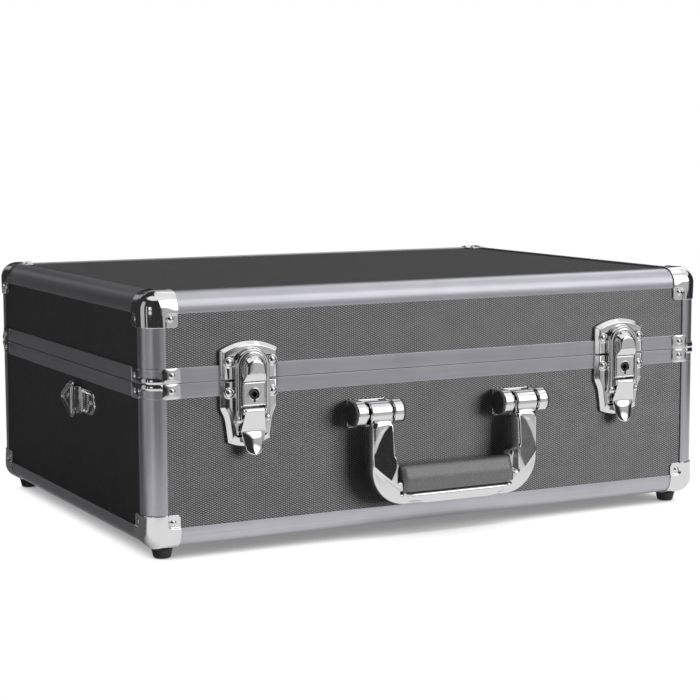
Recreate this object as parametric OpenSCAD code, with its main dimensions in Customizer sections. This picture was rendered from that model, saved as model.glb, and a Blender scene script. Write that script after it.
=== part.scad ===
// Camera case: aluminium edge profiles round laminate panels, with a hinged lid,
// two key latches, a folding carrying handle, strap rings and a padded inside.
// Millimetres. The origin is under the middle of the whole case, on its feet.
// X runs along the width, the front faces -Y, and Z is up.

/* [Case] */
// Outside width over the edge profiles
case_w = 460; // [420:5:560]
// Outside depth over the edge profiles
case_d = 326; // [280:2:420]
// Outside height of the closed case, without its feet
case_h = 176; // [165:1:220]
// Height of the base, from its underside to the parting line
base_h = 114; // [108:1:125]

/* [Edge profiles] */
// Width of each flange, from the outside plane
flange_w = 14.8; // [14:0.1:18]
// Radius of the rounded outer edge
edge_r = 12; // [9:0.5:13]
// Thickness of the flanges outside the panels
skin_t = 1.2; // [0.8:0.1:2]
// Thickness of the leg inside the panels
leg_t = 1; // [0.8:0.1:2]
// Height of the rails on each side of the parting line
rail_h = 10.4; // [9.6:0.1:13]
// Depth of the panel's slot in a rail
rail_slot = 6; // [3:0.5:7]
// Open line between the two rails
parting_gap = 0.3; // [0.2:0.1:1]
// How far the lid's inner lip reaches below the parting line
lip_drop = 3; // [2:0.5:5]
// Thickness of the lid's inner lip
lip_t = 1.2; // [0.8:0.1:2]
// Room between the lip and the base rail
lip_gap = 0.4; // [0.3:0.1:1]

/* [Panels] */
// Thickness of the laminate panels
panel_t = 4; // [3:0.5:6]
// Room round a panel in its slots
slot_play = 0.1; // [0.05:0.05:0.3]

/* [Corners] */
// Thickness of the pressed corner metal
cap_t = 1.2; // [0.8:0.1:2]
// Reach of the ball corners along the edges
cap_reach = 24; // [22:0.1:27]
// How far the ball swells out of the rounded edges
ball_proud = 0.3; // [0.2:0.1:0.8]
// Place of the tab rivets, measured from the outside planes
tab_rivet = 18.4; // [18.3:0.1:20]
// Start of the rail brackets' tabs, from the outside plane
bracket_start = 12; // [12:0.5:14]
// Reach of the rail brackets' tabs, from the outside plane
bracket_reach = 25; // [22:0.5:30]
// Height of the neck that joins the two tabs of a rail bracket
bracket_neck = 4; // [3:0.5:6]

/* [Rivets] */
// Radius of the small domed rivet heads
rivet_head_r = 2.4; // [2:0.1:2.8]
// Height of the small rivet heads
rivet_head_h = 1.1; // [0.8:0.1:1.6]
// Radius of the rivet shanks
rivet_r = 1.3; // [1:0.1:1.6]
// Radius of the large rivet heads on the latches
latch_rivet_head_r = 2.8; // [2.4:0.1:3]
// Room round a shank in its hole
rivet_play = 0.02; // [0.01:0.01:0.1]

/* [Feet] */
// Height of the feet below the case
foot_h = 8; // [5:0.5:14]
// Place of the feet, measured from the outside planes
foot_in = 16.4; // [16.4:0.1:18]
// Radius of a foot at its top
foot_top_r = 7.6; // [6:0.1:9]
// Radius of a foot at the floor
foot_bottom_r = 6; // [4.5:0.1:8]
// Radius of the screw heads inside the feet
foot_screw_head_r = 3; // [2.5:0.1:3.5]

/* [Hinges] */
// Distance of each hinge from the middle
hinge_x = 130; // [90:5:160]
// Width of a hinge
hinge_w = 56; // [40:2:80]
// Thickness of the hinge leaves
leaf_t = 1.4; // [1:0.1:2]
// Distance of the hinge axis behind the case
hinge_out = 4.2; // [4:0.1:6]
// Outer radius of the knuckles
knuckle_r = 3.5; // [3:0.1:3.6]
// Radius of the hinge pins
hinge_pin_r = 1.6; // [1.2:0.1:2]
// Running clearance round the pins
pin_play = 0.05; // [0.02:0.01:0.1]
// Side gap between neighbouring knuckles
knuckle_gap = 0.4; // [0.2:0.1:1]

/* [Latches] */
// Distance of each latch from the middle
latch_x = 154.5; // [120:0.5:165]
// Width of the latch plates
latch_w = 44; // [42:0.5:50]
// How far the plates stand out from the rails
plate_out = 4; // [3:0.1:4.2]
// Width of the plates' sloped rim
plate_bevel = 2.8; // [1.5:0.1:3.2]
// Radius of the arched top of the lid plate
arch_r = 43; // [34:1:60]
// Height of the lid plate's arched top above the parting line
lid_plate_h = 26.6; // [25.5:0.1:32]
// Depth of the base plate below the parting line
base_plate_h = 46.8; // [44:0.1:52]
// How much the base plate narrows on each side
plate_taper = 5.8; // [4:0.1:7]
// Start of that narrowing below the parting line
plate_waist = 19.4; // [18:0.1:22]
// Gap between each plate and the parting line
plate_gap = 0.6; // [0.3:0.1:0.8]
// Inner radius of the hasp's arch
hasp_in_r = 8.9; // [8.8:0.1:9.2]
// Width of the hasp's arms
hasp_arm = 4; // [3:0.1:4.2]
// Depth of the hasp's arms
hasp_t = 3.9; // [3:0.1:5]
// Height of the arch's centre above the parting line
hasp_arch_z = 9; // [8:0.1:10.5]
// Gap between the hasp and the plates
hasp_gap = 0.4; // [0.3:0.1:0.8]
// How far the hasp's nose stands out from the rails
nose_out = 13.5; // [11.5:0.1:15]
// Width of the lock case
lock_w = 17.2; // [15:0.1:17.2]
// How far the lock case stands out from the rails
lock_out = 10; // [8.5:0.1:11]
// Top of the lock case below the parting line
lock_top = 1.1; // [0.8:0.1:2]
// Bottom of the lock case below the parting line
lock_bottom = 17.7; // [16:0.1:17.8]
// Radius of the key plug
plug_r = 3.4; // [2.8:0.1:3.8]
// Width of the lever over its cheeks
lever_w = 15; // [12:0.1:15]
// Sheet thickness of the lever
lever_t = 1.2; // [0.8:0.1:1.6]
// How far the lever leans back from its top to its bend
lever_lean = 3.4; // [2:0.1:4]
// How far the tongue curls out from the bend to its tip
lever_curl = 3; // [1:0.1:5]
// Radius of the lever's rolled top
lever_top_r = 2.4; // [2.1:0.1:2.6]
// Lever pin below the parting line
lever_pin_z = 21.4; // [21:0.1:22]
// Lever pin in front of the rails
lever_pin_out = 8.8; // [8.2:0.1:9.4]
// Hasp pin below the lever pin
hasp_pin_drop = 6; // [5.5:0.1:7]
// Hasp pin behind the lever pin
hasp_pin_back = 1.9; // [1.2:0.1:2]
// Radius of the two latch pins
latch_pin_r = 1.2; // [1:0.1:1.3]
// Length of the lever below its pin
lever_len = 30.4; // [26:0.1:34]
// Thickness of the ears that carry the lever pin
ear_t = 0.85; // [0.6:0.05:0.9]

/* [Handle] */
// Distance of each handle arm from the middle
handle_x = 60.5; // [52:0.5:75]
// Width of a handle arm
arm_w = 16; // [12:0.5:18]
// Depth of a handle arm, front to back
arm_d = 12; // [10:0.5:16]
// How far the middle of the arms stands in front of the handle's axis
arm_set = 4; // [0:0.5:4.5]
// Width of the collar on each side of an arm's barrel
collar_w = 2.7; // [1:0.1:4]
// Radius of those collars
collar_r = 6.6; // [5:0.1:7]
// Width of each bracket knuckle
cheek_w = 7.3; // [6:0.1:10]
// Outer radius of the bracket knuckles
cheek_r = 9; // [8:0.1:9.5]
// Radius of the handle's barrels
barrel_r = 8.4; // [7:0.1:8.6]
// Handle axis in front of the case
handle_out = 10.3; // [10:0.1:13]
// Handle axis below the parting line
handle_z = 29; // [26:0.5:34]
// Length from the axis to the lower edge of the handle
handle_len = 66; // [56:1:70]
// Height of the handle's lower bar with the grip
grip_bar_h = 28; // [24:0.5:34]
// Height of the bare strip under the grip
strip_h = 8; // [6:0.5:10]
// Length of the grip
grip_w = 91; // [70:1:96]
// How far the grip stands in front of the arms
grip_proud = 4.2; // [1:0.1:5]
// Room between the grip and the frame
grip_play = 0.2; // [0.1:0.05:0.4]
// Radius of the handle's lower corners
handle_corner_r = 27; // [20:1:32]
// Radius of the handle pins
handle_pin_r = 2.5; // [2:0.1:3.5]
// Side gap between an arm and its bracket
handle_gap = 0.3; // [0.2:0.1:1]
// Thickness of the brackets' back plates
bracket_t = 2.3; // [2:0.1:2.5]

/* [Strap rings] */
// Distance of the ring plates behind the front of the case
ring_y = 134; // [110:1:180]
// Height of the ring plates' centre below the parting line
ring_z = 26; // [24:0.5:50]
// Length of a ring plate
ring_plate_l = 66; // [60:1:80]
// Height of a ring plate's rounded ends
ring_plate_h = 18; // [14:0.5:24]
// Thickness of a ring plate
ring_plate_t = 2; // [1.5:0.1:2.6]
// Length of the barrel that holds the ring
ring_barrel_l = 20; // [14:0.5:21]
// Outer radius of that barrel
ring_barrel_r = 3; // [2.6:0.1:3.2]
// Wire radius of the ring
wire_r = 1.5; // [1.2:0.1:1.8]
// Half height of the ring at the barrel
ring_half = 14.5; // [14:0.5:20]
// Length of the ring from the barrel to its tip
ring_len = 27; // [22:0.5:34]
// Ring axis outside the case
ring_out = 4.4; // [4.2:0.1:6]

/* [Inside] */
// Thickness of the foam on the base walls
wall_pad_t = 7; // [4:0.5:12]
// Thickness of the foam on the base floor
floor_pad_t = 9; // [5:0.5:15]
// Thickness of the foam in the lid
lid_pad_t = 16; // [8:0.5:24]
// Thickness of the dividers
divider_t = 10; // [6:0.5:14]
// Room above the wall foam, up to the parting line
pad_top_gap = 5.5; // [5.5:0.5:12]
// Room above the dividers, up to the parting line
divider_top_gap = 14; // [8:0.5:30]
// Space between foam and what it lies against
foam_gap = 0.3; // [0.2:0.05:0.5]

/* [Hidden] */
$fn = 48;
eps = 0.01;
signs = [-1, 1];
lid_h = case_h - base_h;
half_w = case_w / 2;
half_d = case_d / 2;
slot_t = panel_t + 2 * slot_play;
panel_out = skin_t + slot_play;
panel_in = panel_out + panel_t;
panel_edge = edge_r + slot_play;
inner_d = skin_t + slot_t + leg_t;
edge_start = flange_w + 0.2;
mitre_gap = 0.15;
tab_play = 0.1;
tab_round = 3;
riser_t = 0.9;
riser_end = flange_w + tab_play + riser_t;
ball_tip = edge_r - (edge_r + cap_t + ball_proud) / sqrt(3);
ball_mid = 1.5 * edge_r;
hollow_tip = edge_r - edge_r / sqrt(3);
hollow_mid = 2.5 * edge_r;
tab_seat = panel_out - cap_t;

grip_out = handle_out + arm_set + arm_d / 2 + grip_proud;
front_out = max(grip_out, handle_out + cheek_r, nose_out);
back_out = hinge_out + knuckle_r;
case_y = (front_out - back_out) / 2;
part_z = foot_h + base_h;
top_z = foot_h + case_h;
front_y = case_y - half_d;
back_y = case_y + half_d;
rail_top = rail_h + parting_gap / 2;

latch_rivet_x = latch_w / 2 - 5.6;
base_latch_rivet_z = rail_top - rivet_r - 0.6;
lid_latch_rivet_z = rail_top + rivet_r + 0.5;
hasp_out_r = hasp_in_r + hasp_arm;
hasp_back = plate_out + hasp_gap;
hasp_front = hasp_back + hasp_t;
hasp_chamfer = 1.5;
hasp_end_r = 2.2;
nose_gap = 0.5;
hasp_pin_out = lever_pin_out - hasp_pin_back;
hasp_pin_z = lever_pin_z + hasp_pin_drop;
bend_z = lever_pin_z + lever_len * 0.45;
bend_out = lever_pin_out + lever_top_r - lever_lean;
tongue_r = lever_w * 0.42;
ear_gap = 0.3;
ear_r = lever_top_r - 0.2;
lock_mid_z = (lock_top + lock_bottom) / 2;
plug_l = lock_out - plate_out - 1.2;
plug_sunk = 0.4;
key_slot_w = 1.6;
rim_t = 0.6;
ear_x = lever_w / 2 + ear_gap + ear_t / 2;
pocket_t = 2.2;
pocket_w = 15;
lug_w = 11;

cheek_x = arm_w / 2 + collar_w + handle_gap + cheek_w / 2;
bracket_w = 2 * cheek_x + cheek_w;
plate_front = bracket_t - panel_out;
arm_chamfer = 3.5;
grip_top = handle_len - grip_bar_h;
grip_r = 5;
core_t = 5;
core_h = 12;
pin_head_r = 5.5;
pin_head_t = 0.8;

ring_joint = 0.06;
ring_angle = atan(ring_len / ring_half);
ring_rivet_x = (ring_plate_l - ring_plate_h) / 2;
hinge_clear = knuckle_r + 0.4;
hinge_rivet_z = (hinge_clear + rail_top) / 2;
knuckle_w = (hinge_w - 2 * knuckle_gap) / 3;
foot_recess = 3;
screw_head_t = 1.6;

pad_x = half_w - inner_d - foam_gap;
pad_y = half_d - inner_d - foam_gap;
floor_top = inner_d + foam_gap + floor_pad_t;
wall_pad_z = floor_top + foam_gap;
cell_x = pad_x - wall_pad_t;
cell_y = pad_y - wall_pad_t;

profile_colour = "lightsteelblue";
panel_colour = "dimgray";
chrome_colour = "silver";
rubber_colour = "black";
foam_colour = "darkslategray";
grip_colour = "darkslategray";

// Placing. A half is drawn with z = 0 at its outside face and z = h at the parting line.
module as_base() translate([0, case_y, foot_h]) children();
module as_lid() translate([0, case_y, top_z]) mirror([0, 0, 1]) children();

// Repeats a corner drawn with its outside planes at x = 0 and y = 0, growing inward.
module at_corners()
    for (sx = [0, 1], sy = [0, 1])
        mirror([sx, 0, 0]) mirror([0, sy, 0]) translate([-half_w, -half_d, 0]) children();

// Frames of the hardware: x along the face, -y outward.
module at_latch(side) translate([side * latch_x, front_y, part_z]) children();
module at_handle() translate([0, front_y, part_z - handle_z]) children();
module at_hinge(side) translate([side * hinge_x, back_y, part_z]) rotate([0, 0, 180]) children();
module at_ring(side)
    mirror([side > 0 ? 1 : 0, 0, 0])
        translate([-half_w, front_y + ring_y, part_z - ring_z]) rotate([0, 0, -90]) children();

// An outline in x and z, extruded outward from o1 to o2.
module front_slab(o1, o2) translate([0, -o1, 0]) rotate([90, 0, 0]) linear_extrude(o2 - o1) children();

// An outline in outward distance and z, extruded along x and centred at x.
module side_slab(x, w) translate([x, 0, 0]) rotate([90, 0, -90]) linear_extrude(w, center = true) children();

// A section in x and outward distance, extruded upward from z1 to z2.
module upright_slab(z1, z2) translate([0, 0, z1]) linear_extrude(z2 - z1) mirror([0, 1, 0]) children();

// A rod along x at an outward distance and a height.
module x_rod(x, out, z, r, w)
    translate([x, -out, z]) rotate([0, 90, 0]) cylinder(r = r, h = w, center = true);

// Turns a shape that points along z so that it points along d.
module face(d) {
    if (d[2] < 0) rotate([180, 0, 0]) children();
    else if (d[1] != 0) rotate([-90 * d[1], 0, 0]) children();
    else if (d[0] != 0) rotate([0, 90 * d[0], 0]) children();
    else children();
}

// A rivet is a list: place of its seat, outward direction, head radius, shank length.
module rivet(v)
    translate(v[0]) face(v[1]) {
        dome_r = (v[2] * v[2] + rivet_head_h * rivet_head_h) / (2 * rivet_head_h);
        rotate_extrude() intersection() {
            translate([0, rivet_head_h - dome_r]) circle(r = dome_r, $fn = 96);
            square([v[2] + 1, rivet_head_h + 1]);
        }
        translate([0, 0, -v[3]]) cylinder(r = rivet_r, h = v[3] + eps);
    }
module rivets(list) for (v = list) rivet(v);
module rivet_holes(list)
    for (v = list)
        translate(v[0]) face(v[1]) translate([0, 0, -v[3] - slot_play / 2])
            cylinder(r = rivet_r + rivet_play, h = v[3] + 2);

// Rivets of one half, h being its height.
function tab_rivets() = [
    for (sx = signs, sy = signs)
        let (l = cap_t + panel_t, x = half_w - tab_rivet, y = half_d - tab_rivet)
        each [
            [[sx * x, sy * (half_d - tab_seat), tab_rivet], [0, sy, 0], rivet_head_r, l],
            [[sx * (half_w - tab_seat), sy * y, tab_rivet], [sx, 0, 0], rivet_head_r, l]
        ]
];
function outside_rivets() = [
    for (sx = signs, sy = signs)
        [[sx * (half_w - tab_rivet), sy * (half_d - tab_rivet), tab_seat], [0, 0, -1], rivet_head_r,
            cap_t + panel_t]
];
function foot_rivets() = [
    for (sx = signs, sy = signs)
        [[sx * (half_w - foot_in), sy * (half_d - foot_in), -cap_t], [0, 0, -1], rivet_head_r,
            cap_t + panel_in]
];
function bracket_rivets(h) = [
    for (sx = signs, sy = signs)
        let (in = (bracket_start + bracket_reach) / 2, z = h - rail_top + rail_h / 2, l = cap_t + skin_t)
        each [
            [[sx * (half_w - in), sy * (half_d + cap_t), z], [0, sy, 0], rivet_head_r, l],
            [[sx * (half_w + cap_t), sy * (half_d - in), z], [sx, 0, 0], rivet_head_r, l]
        ]
];
function latch_rivets(h, depth, grip) = [
    for (side = signs, s = signs)
        [[side * latch_x + s * latch_rivet_x, -half_d - plate_out, h - depth], [0, -1, 0], latch_rivet_head_r,
            plate_out + grip]
];
function hinge_rivets(h) = [
    for (side = signs, s = signs)
        [[side * hinge_x + s * hinge_w * 0.36, half_d + leaf_t, h - hinge_rivet_z], [0, 1, 0], rivet_head_r,
            leaf_t + inner_d]
];
function ring_rivets() = [
    for (side = signs, s = signs)
        [[side * (half_w + ring_plate_t - panel_out), -half_d + ring_y + s * ring_rivet_x, base_h - ring_z],
            [side, 0, 0], rivet_head_r, ring_plate_t + panel_t]
];
function handle_rivets() = [
    for (side = signs, s = signs)
        [[side * handle_x + s * cheek_x, -half_d + panel_in, base_h - handle_z], [0, 1, 0],
            rivet_head_r, panel_t + bracket_t * 0.7]
];
function base_rivet_list() = concat(tab_rivets(), bracket_rivets(base_h),
    latch_rivets(base_h, base_latch_rivet_z, inner_d), hinge_rivets(base_h), ring_rivets(), handle_rivets());
function lid_rivet_list() = concat(tab_rivets(), outside_rivets(), bracket_rivets(lid_h),
    latch_rivets(lid_h, lid_latch_rivet_z, panel_in), hinge_rivets(lid_h));

// Square with its corner at the origin rounded.
module rounded_square(r, s)
    difference() {
        square(s);
        difference() {
            translate([-eps, -eps]) square(r + eps);
            translate([r, r]) circle(r = r, $fn = 96);
        }
    }

// Section of an edge profile: two flanges, the rounded edge and the slots for two panels.
module edge_section()
    difference() {
        rounded_square(edge_r, flange_w);
        translate([inner_d, inner_d]) square(flange_w);
        translate([skin_t, edge_r]) square([slot_t, flange_w]);
        translate([edge_r, skin_t]) square([flange_w, slot_t]);
    }

// Corner posts of one half, between the outside edges and the rails.
module corner_posts(h)
    at_corners() translate([0, 0, edge_start]) linear_extrude(h - rail_top - edge_start) edge_section();

// The four profiles round the outside face of one half.
module outside_edges() {
    for (sy = [0, 1]) mirror([0, sy, 0]) translate([-half_w + edge_start, -half_d, 0])
        rotate([90, 0, 90]) linear_extrude(case_w - 2 * edge_start) edge_section();
    for (sx = [0, 1]) mirror([sx, 0, 0]) translate([-half_w, half_d - edge_start, 0])
        rotate([90, 0, 0]) linear_extrude(case_d - 2 * edge_start) edge_section();
}

// Plan of one mitred rail, l long at w from the middle, between two depths from the outside.
module rail_plan(l, w, d1, d2)
    polygon([[-l / 2 + d1 + mitre_gap, -w + d1], [l / 2 - d1 - mitre_gap, -w + d1],
        [l / 2 - d2 - mitre_gap, -w + d2], [-l / 2 + d2 + mitre_gap, -w + d2]]);

// Plan of a rail that follows the rounded upright edges of the case.
module outer_rail_plan(l, w)
    difference() {
        rail_plan(l, w, 0, inner_d);
        for (side = [0, 1]) mirror([side, 0]) translate([-l / 2, -w]) difference() {
            translate([-eps, -eps]) square(edge_r + eps);
            translate([edge_r, edge_r]) circle(r = edge_r, $fn = 96);
        }
    }

module rail(l, w, h, has_lip) {
    bottom = h - rail_top;
    top = h - parting_gap / 2;
    slot_l = l - 2 * edge_r - 2 * slot_play;
    difference() {
        translate([0, 0, bottom]) linear_extrude(rail_h) outer_rail_plan(l, w);
        translate([-slot_l / 2, -w + skin_t, bottom - 1]) cube([slot_l, slot_t, rail_slot + 1]);
    }
    lip_in = inner_d + lip_gap;
    if (has_lip) {
        translate([0, 0, top - lip_t]) linear_extrude(lip_t) rail_plan(l, w, inner_d - eps, lip_in + lip_t);
        translate([0, 0, top - eps]) linear_extrude(lip_drop + parting_gap / 2 + eps)
            rail_plan(l, w, lip_in, lip_in + lip_t);
    }
}

// The four rails of one half, along its parting line.
module rails(h, has_lip) {
    for (turn = [0, 180]) rotate([0, 0, turn]) rail(case_w, half_d, h, has_lip);
    for (turn = [90, -90]) rotate([0, 0, turn]) rail(case_d, half_w, h, has_lip);
}

// Panels, held in the slots of the profiles.
function panel_h(h) = h - rail_top + rail_slot - slot_play - panel_edge;
module flat_panel()
    translate([-half_w + panel_edge, -half_d + panel_edge, panel_out])
        cube([case_w - 2 * panel_edge, case_d - 2 * panel_edge, panel_t]);
module long_panel(h)
    translate([-half_w + panel_edge, -half_d + panel_out, panel_edge])
        cube([case_w - 2 * panel_edge, panel_t, panel_h(h)]);
module short_panel(h)
    translate([-half_w + panel_out, -half_d + panel_edge, panel_edge])
        cube([panel_t, case_d - 2 * panel_edge, panel_h(h)]);

// The three turns that swap the axes of a corner.
corner_turns = [[0, 0, 0], [90, 0, 90], [0, -90, -90]];

// Rounded corner of a block that fills the space away from the origin. Its point is trimmed
// by a ball centred at mid on the diagonal, so that it keeps tip away from each plane.
module corner_block(r, reach, mid, tip)
    intersection() {
        linear_extrude(reach) rounded_square(r, reach);
        rotate(corner_turns[1]) linear_extrude(reach) rounded_square(r, reach);
        rotate(corner_turns[2]) linear_extrude(reach) rounded_square(r, reach);
        translate([mid, mid, mid]) sphere(r = sqrt(3) * (mid - tip), $fn = 96);
    }

// Square from a to b each way, with its far corner rounded.
module tab_square(a, b, r)
    difference() {
        translate([a, a]) square(b - a);
        difference() {
            translate([b - r, b - r]) square(r + 1);
            translate([b - r, b - r]) circle(r = r);
        }
    }

// Pressed ball corner in corner coordinates. On the listed faces its tab is pressed down to the panel.
module ball_corner(recessed) {
    difference() {
        translate([-cap_t, -cap_t, -cap_t])
            corner_block(edge_r + cap_t, cap_reach + cap_t, ball_mid + cap_t, ball_tip + cap_t);
        corner_block(edge_r, cap_reach + 5, hollow_mid, hollow_tip);
        for (turn = corner_turns) rotate(turn) translate([0, 0, -cap_t - 1]) linear_extrude(cap_t + 2)
            difference() {
                translate([flange_w, flange_w]) square(cap_reach);
                tab_square(flange_w - 1, cap_reach, tab_round);
            }
        for (k = recessed) rotate(corner_turns[k]) translate([0, 0, -cap_t - 1]) linear_extrude(cap_t + 2)
            translate([riser_end, riser_end]) square(cap_reach);
    }
    for (k = [0 : 2]) rotate(corner_turns[k]) translate([0, 0, -cap_t / 2])
        linear_extrude(cap_t / 2 + panel_out) difference() {
            tab_square(flange_w + tab_play, cap_reach, tab_round);
            if (len(search(k, recessed)) > 0) translate([riser_end, riser_end]) square(cap_reach);
        }
    for (k = recessed) rotate(corner_turns[k]) translate([0, 0, tab_seat]) linear_extrude(cap_t)
        tab_square(riser_end - riser_t / 2, cap_reach, tab_round);
}

// Rail bracket: a neck round the upright edge with a tab on each rail.
module rail_bracket(h) {
    bottom = h - rail_top;
    neck_z = h - parting_gap / 2 - bracket_neck;
    difference() {
        translate([-cap_t, -cap_t, neck_z]) linear_extrude(bracket_neck)
            rounded_square(edge_r + cap_t, bracket_reach + cap_t);
        translate([0, 0, neck_z - 1]) linear_extrude(bracket_neck + 2)
            rounded_square(edge_r, bracket_reach + 5);
    }
    translate([bracket_start, -cap_t, bottom]) cube([bracket_reach - bracket_start, cap_t, rail_h]);
    translate([-cap_t, bracket_start, bottom]) cube([cap_t, bracket_reach - bracket_start, rail_h]);
}

// The shell.
module base_floor_panel()
    color(panel_colour) as_base() difference() {
        flat_panel();
        rivet_holes(foot_rivets());
    }
module lid_top_panel()
    color(panel_colour) as_lid() difference() {
        flat_panel();
        rivet_holes(outside_rivets());
    }
module base_long_panel(turn)
    color(panel_colour) as_base() difference() {
        rotate([0, 0, turn]) long_panel(base_h);
        rivet_holes(base_rivet_list());
    }
module lid_long_panel(turn)
    color(panel_colour) as_lid() difference() {
        rotate([0, 0, turn]) long_panel(lid_h);
        rivet_holes(lid_rivet_list());
    }
module base_short_panel(turn)
    color(panel_colour) as_base() difference() {
        rotate([0, 0, turn]) short_panel(base_h);
        rivet_holes(base_rivet_list());
    }
module lid_short_panel(turn)
    color(panel_colour) as_lid() difference() {
        rotate([0, 0, turn]) short_panel(lid_h);
        rivet_holes(lid_rivet_list());
    }
module base_rails()
    color(profile_colour) as_base() difference() {
        rails(base_h, false);
        rivet_holes(base_rivet_list());
    }
module lid_rails()
    color(profile_colour) as_lid() difference() {
        rails(lid_h, true);
        rivet_holes(lid_rivet_list());
    }
module base_corner_posts() color(profile_colour) as_base() corner_posts(base_h);
module lid_corner_posts() color(profile_colour) as_lid() corner_posts(lid_h);
module base_bottom_edges() color(profile_colour) as_base() outside_edges();
module lid_top_edges() color(profile_colour) as_lid() outside_edges();
module base_ball_corners()
    color(chrome_colour) as_base() difference() {
        at_corners() ball_corner([1, 2]);
        rivet_holes(concat(tab_rivets(), foot_rivets()));
    }
module lid_ball_corners()
    color(chrome_colour) as_lid() difference() {
        at_corners() ball_corner([0, 1, 2]);
        rivet_holes(concat(tab_rivets(), outside_rivets()));
    }
module rail_brackets(h)
    color(chrome_colour) difference() {
        at_corners() rail_bracket(h);
        rivet_holes(bracket_rivets(h));
    }
module base_rail_brackets() as_base() rail_brackets(base_h);
module lid_rail_brackets() as_lid() rail_brackets(lid_h);
module base_rivets() color(chrome_colour) as_base() rivets(base_rivet_list());
module lid_rivets() color(chrome_colour) as_lid() rivets(lid_rivet_list());

// Feet, with a screw up through each into the floor panel.
module feet()
    color(rubber_colour) as_base() at_corners() translate([foot_in, foot_in, -foot_h]) difference() {
        cylinder(r1 = foot_bottom_r, r2 = foot_top_r, h = foot_h - cap_t);
        translate([0, 0, -1]) cylinder(r = foot_screw_head_r + 0.3, h = foot_recess + 1);
        cylinder(r = rivet_r + pin_play, h = foot_h);
    }
module foot_screws()
    color(chrome_colour) as_base() at_corners() translate([foot_in, foot_in, -foot_h + foot_recess]) {
        translate([0, 0, -screw_head_t]) cylinder(r = foot_screw_head_r, h = screw_head_t);
        translate([0, 0, -eps]) cylinder(r = rivet_r, h = foot_h - foot_recess + panel_in + eps);
    }

// Hinges. up is 1 for the lid's leaf and -1 for the base's.
module hinge_leaf(up, knuckles)
    difference() {
        union() {
            mirror([0, 0, up > 0 ? 0 : 1]) {
                front_slab(0, leaf_t) translate([-hinge_w / 2, hinge_clear])
                    square([hinge_w, rail_top - hinge_clear]);
                for (k = knuckles) side_slab(k * (knuckle_w + knuckle_gap), knuckle_w)
                    translate([0, parting_gap / 2]) square([hinge_out, hinge_clear - parting_gap / 2 + eps]);
            }
            for (k = knuckles) x_rod(k * (knuckle_w + knuckle_gap), hinge_out, 0, knuckle_r, knuckle_w);
        }
        x_rod(0, hinge_out, 0, hinge_pin_r + pin_play, hinge_w + 2);
    }
module hinge_base_leaves()
    color(chrome_colour) difference() {
        for (side = signs) at_hinge(side) hinge_leaf(-1, [-1, 1]);
        as_base() rivet_holes(hinge_rivets(base_h));
    }
module hinge_lid_leaves()
    color(chrome_colour) difference() {
        for (side = signs) at_hinge(side) hinge_leaf(1, [0]);
        as_lid() rivet_holes(hinge_rivets(lid_h));
    }
module hinge_pins()
    color(chrome_colour) for (side = signs) at_hinge(side) x_rod(0, hinge_out, 0, hinge_pin_r, hinge_w);

// Latch plates. The base plate's outline is a list of heights and half widths.
base_plate_steps = [
    [plate_gap, latch_w / 2], [plate_waist, latch_w / 2],
    [plate_waist + 4.6, latch_w / 2 - plate_taper * 0.42],
    [plate_waist + 11, latch_w / 2 - plate_taper * 0.74],
    [base_plate_h - 3.4, latch_w / 2 - plate_taper],
    [base_plate_h, latch_w / 2 - plate_taper - 9]
];
module plate_band(a, b, last)
    hull() {
        front_slab(0, rim_t) polygon([[-a[1], -a[0]], [a[1], -a[0]], [b[1], -b[0]], [-b[1], -b[0]]]);
        front_slab(plate_out - 0.05, plate_out)
            polygon([[-a[1] + plate_bevel, -a[0]], [a[1] - plate_bevel, -a[0]],
                [b[1] - plate_bevel, last ? plate_bevel - b[0] : -b[0]],
                [plate_bevel - b[1], last ? plate_bevel - b[0] : -b[0]]]);
    }
module latch_base_plate(side)
    color(chrome_colour) difference() {
        at_latch(side) {
            for (i = [0 : 4]) plate_band(base_plate_steps[i], base_plate_steps[i + 1], i == 4);
            front_slab(-panel_out, eps) intersection() {
                polygon(concat([for (v = base_plate_steps) [v[1], -v[0]]],
                    [for (i = [5 : -1 : 0]) [-base_plate_steps[i][1], -base_plate_steps[i][0]]]));
                translate([-latch_w, -base_plate_h - 1])
                    square([2 * latch_w, base_plate_h + 1 - rail_top - slot_play]);
            }
            for (s = signs) side_slab(s * ear_x, ear_t) difference() {
                union() {
                    translate([lever_pin_out, -lever_pin_z]) circle(r = ear_r);
                    translate([plate_out - eps, -lever_pin_z - ear_r])
                        square([lever_pin_out - plate_out, 2 * ear_r]);
                }
                translate([lever_pin_out, -lever_pin_z]) circle(r = latch_pin_r + rivet_play);
            }
        }
        as_base() rivet_holes(latch_rivets(base_h, base_latch_rivet_z, inner_d));
    }
module latch_lid_plate(side)
    color(chrome_colour) difference() {
        at_latch(side) difference() {
            intersection() {
                front_slab(-panel_out, plate_out) translate([-latch_w / 2, plate_gap])
                    square([latch_w, lid_plate_h]);
                upright_slab(0, lid_plate_h) polygon([[-latch_w / 2, -panel_out - 1],
                    [latch_w / 2, -panel_out - 1], [latch_w / 2, rim_t],
                    [latch_w / 2 - plate_bevel, plate_out],
                    [plate_bevel - latch_w / 2, plate_out], [-latch_w / 2, rim_t]]);
                translate([0, 0, lid_plate_h - arch_r]) rotate([90, 0, 0]) rotate_extrude($fn = 96)
                    polygon([[0, -panel_out - 1], [arch_r, -panel_out - 1], [arch_r, rim_t],
                        [arch_r - plate_bevel, plate_out + eps], [0, plate_out + eps]]);
            }
            front_slab(-panel_out - 1, 0) translate([-latch_w, -1])
                square([2 * latch_w, rail_top + 1 + slot_play]);
            front_slab(plate_out - pocket_t, plate_out + 1) difference() {
                translate([-pocket_w / 2, 1.5]) square([pocket_w, hasp_arch_z + hasp_in_r * 0.6]);
                translate([-lug_w / 2, 5]) square([lug_w, 3.5]);
            }
        }
        as_lid() rivet_holes(latch_rivets(lid_h, lid_latch_rivet_z, panel_in));
    }

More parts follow.
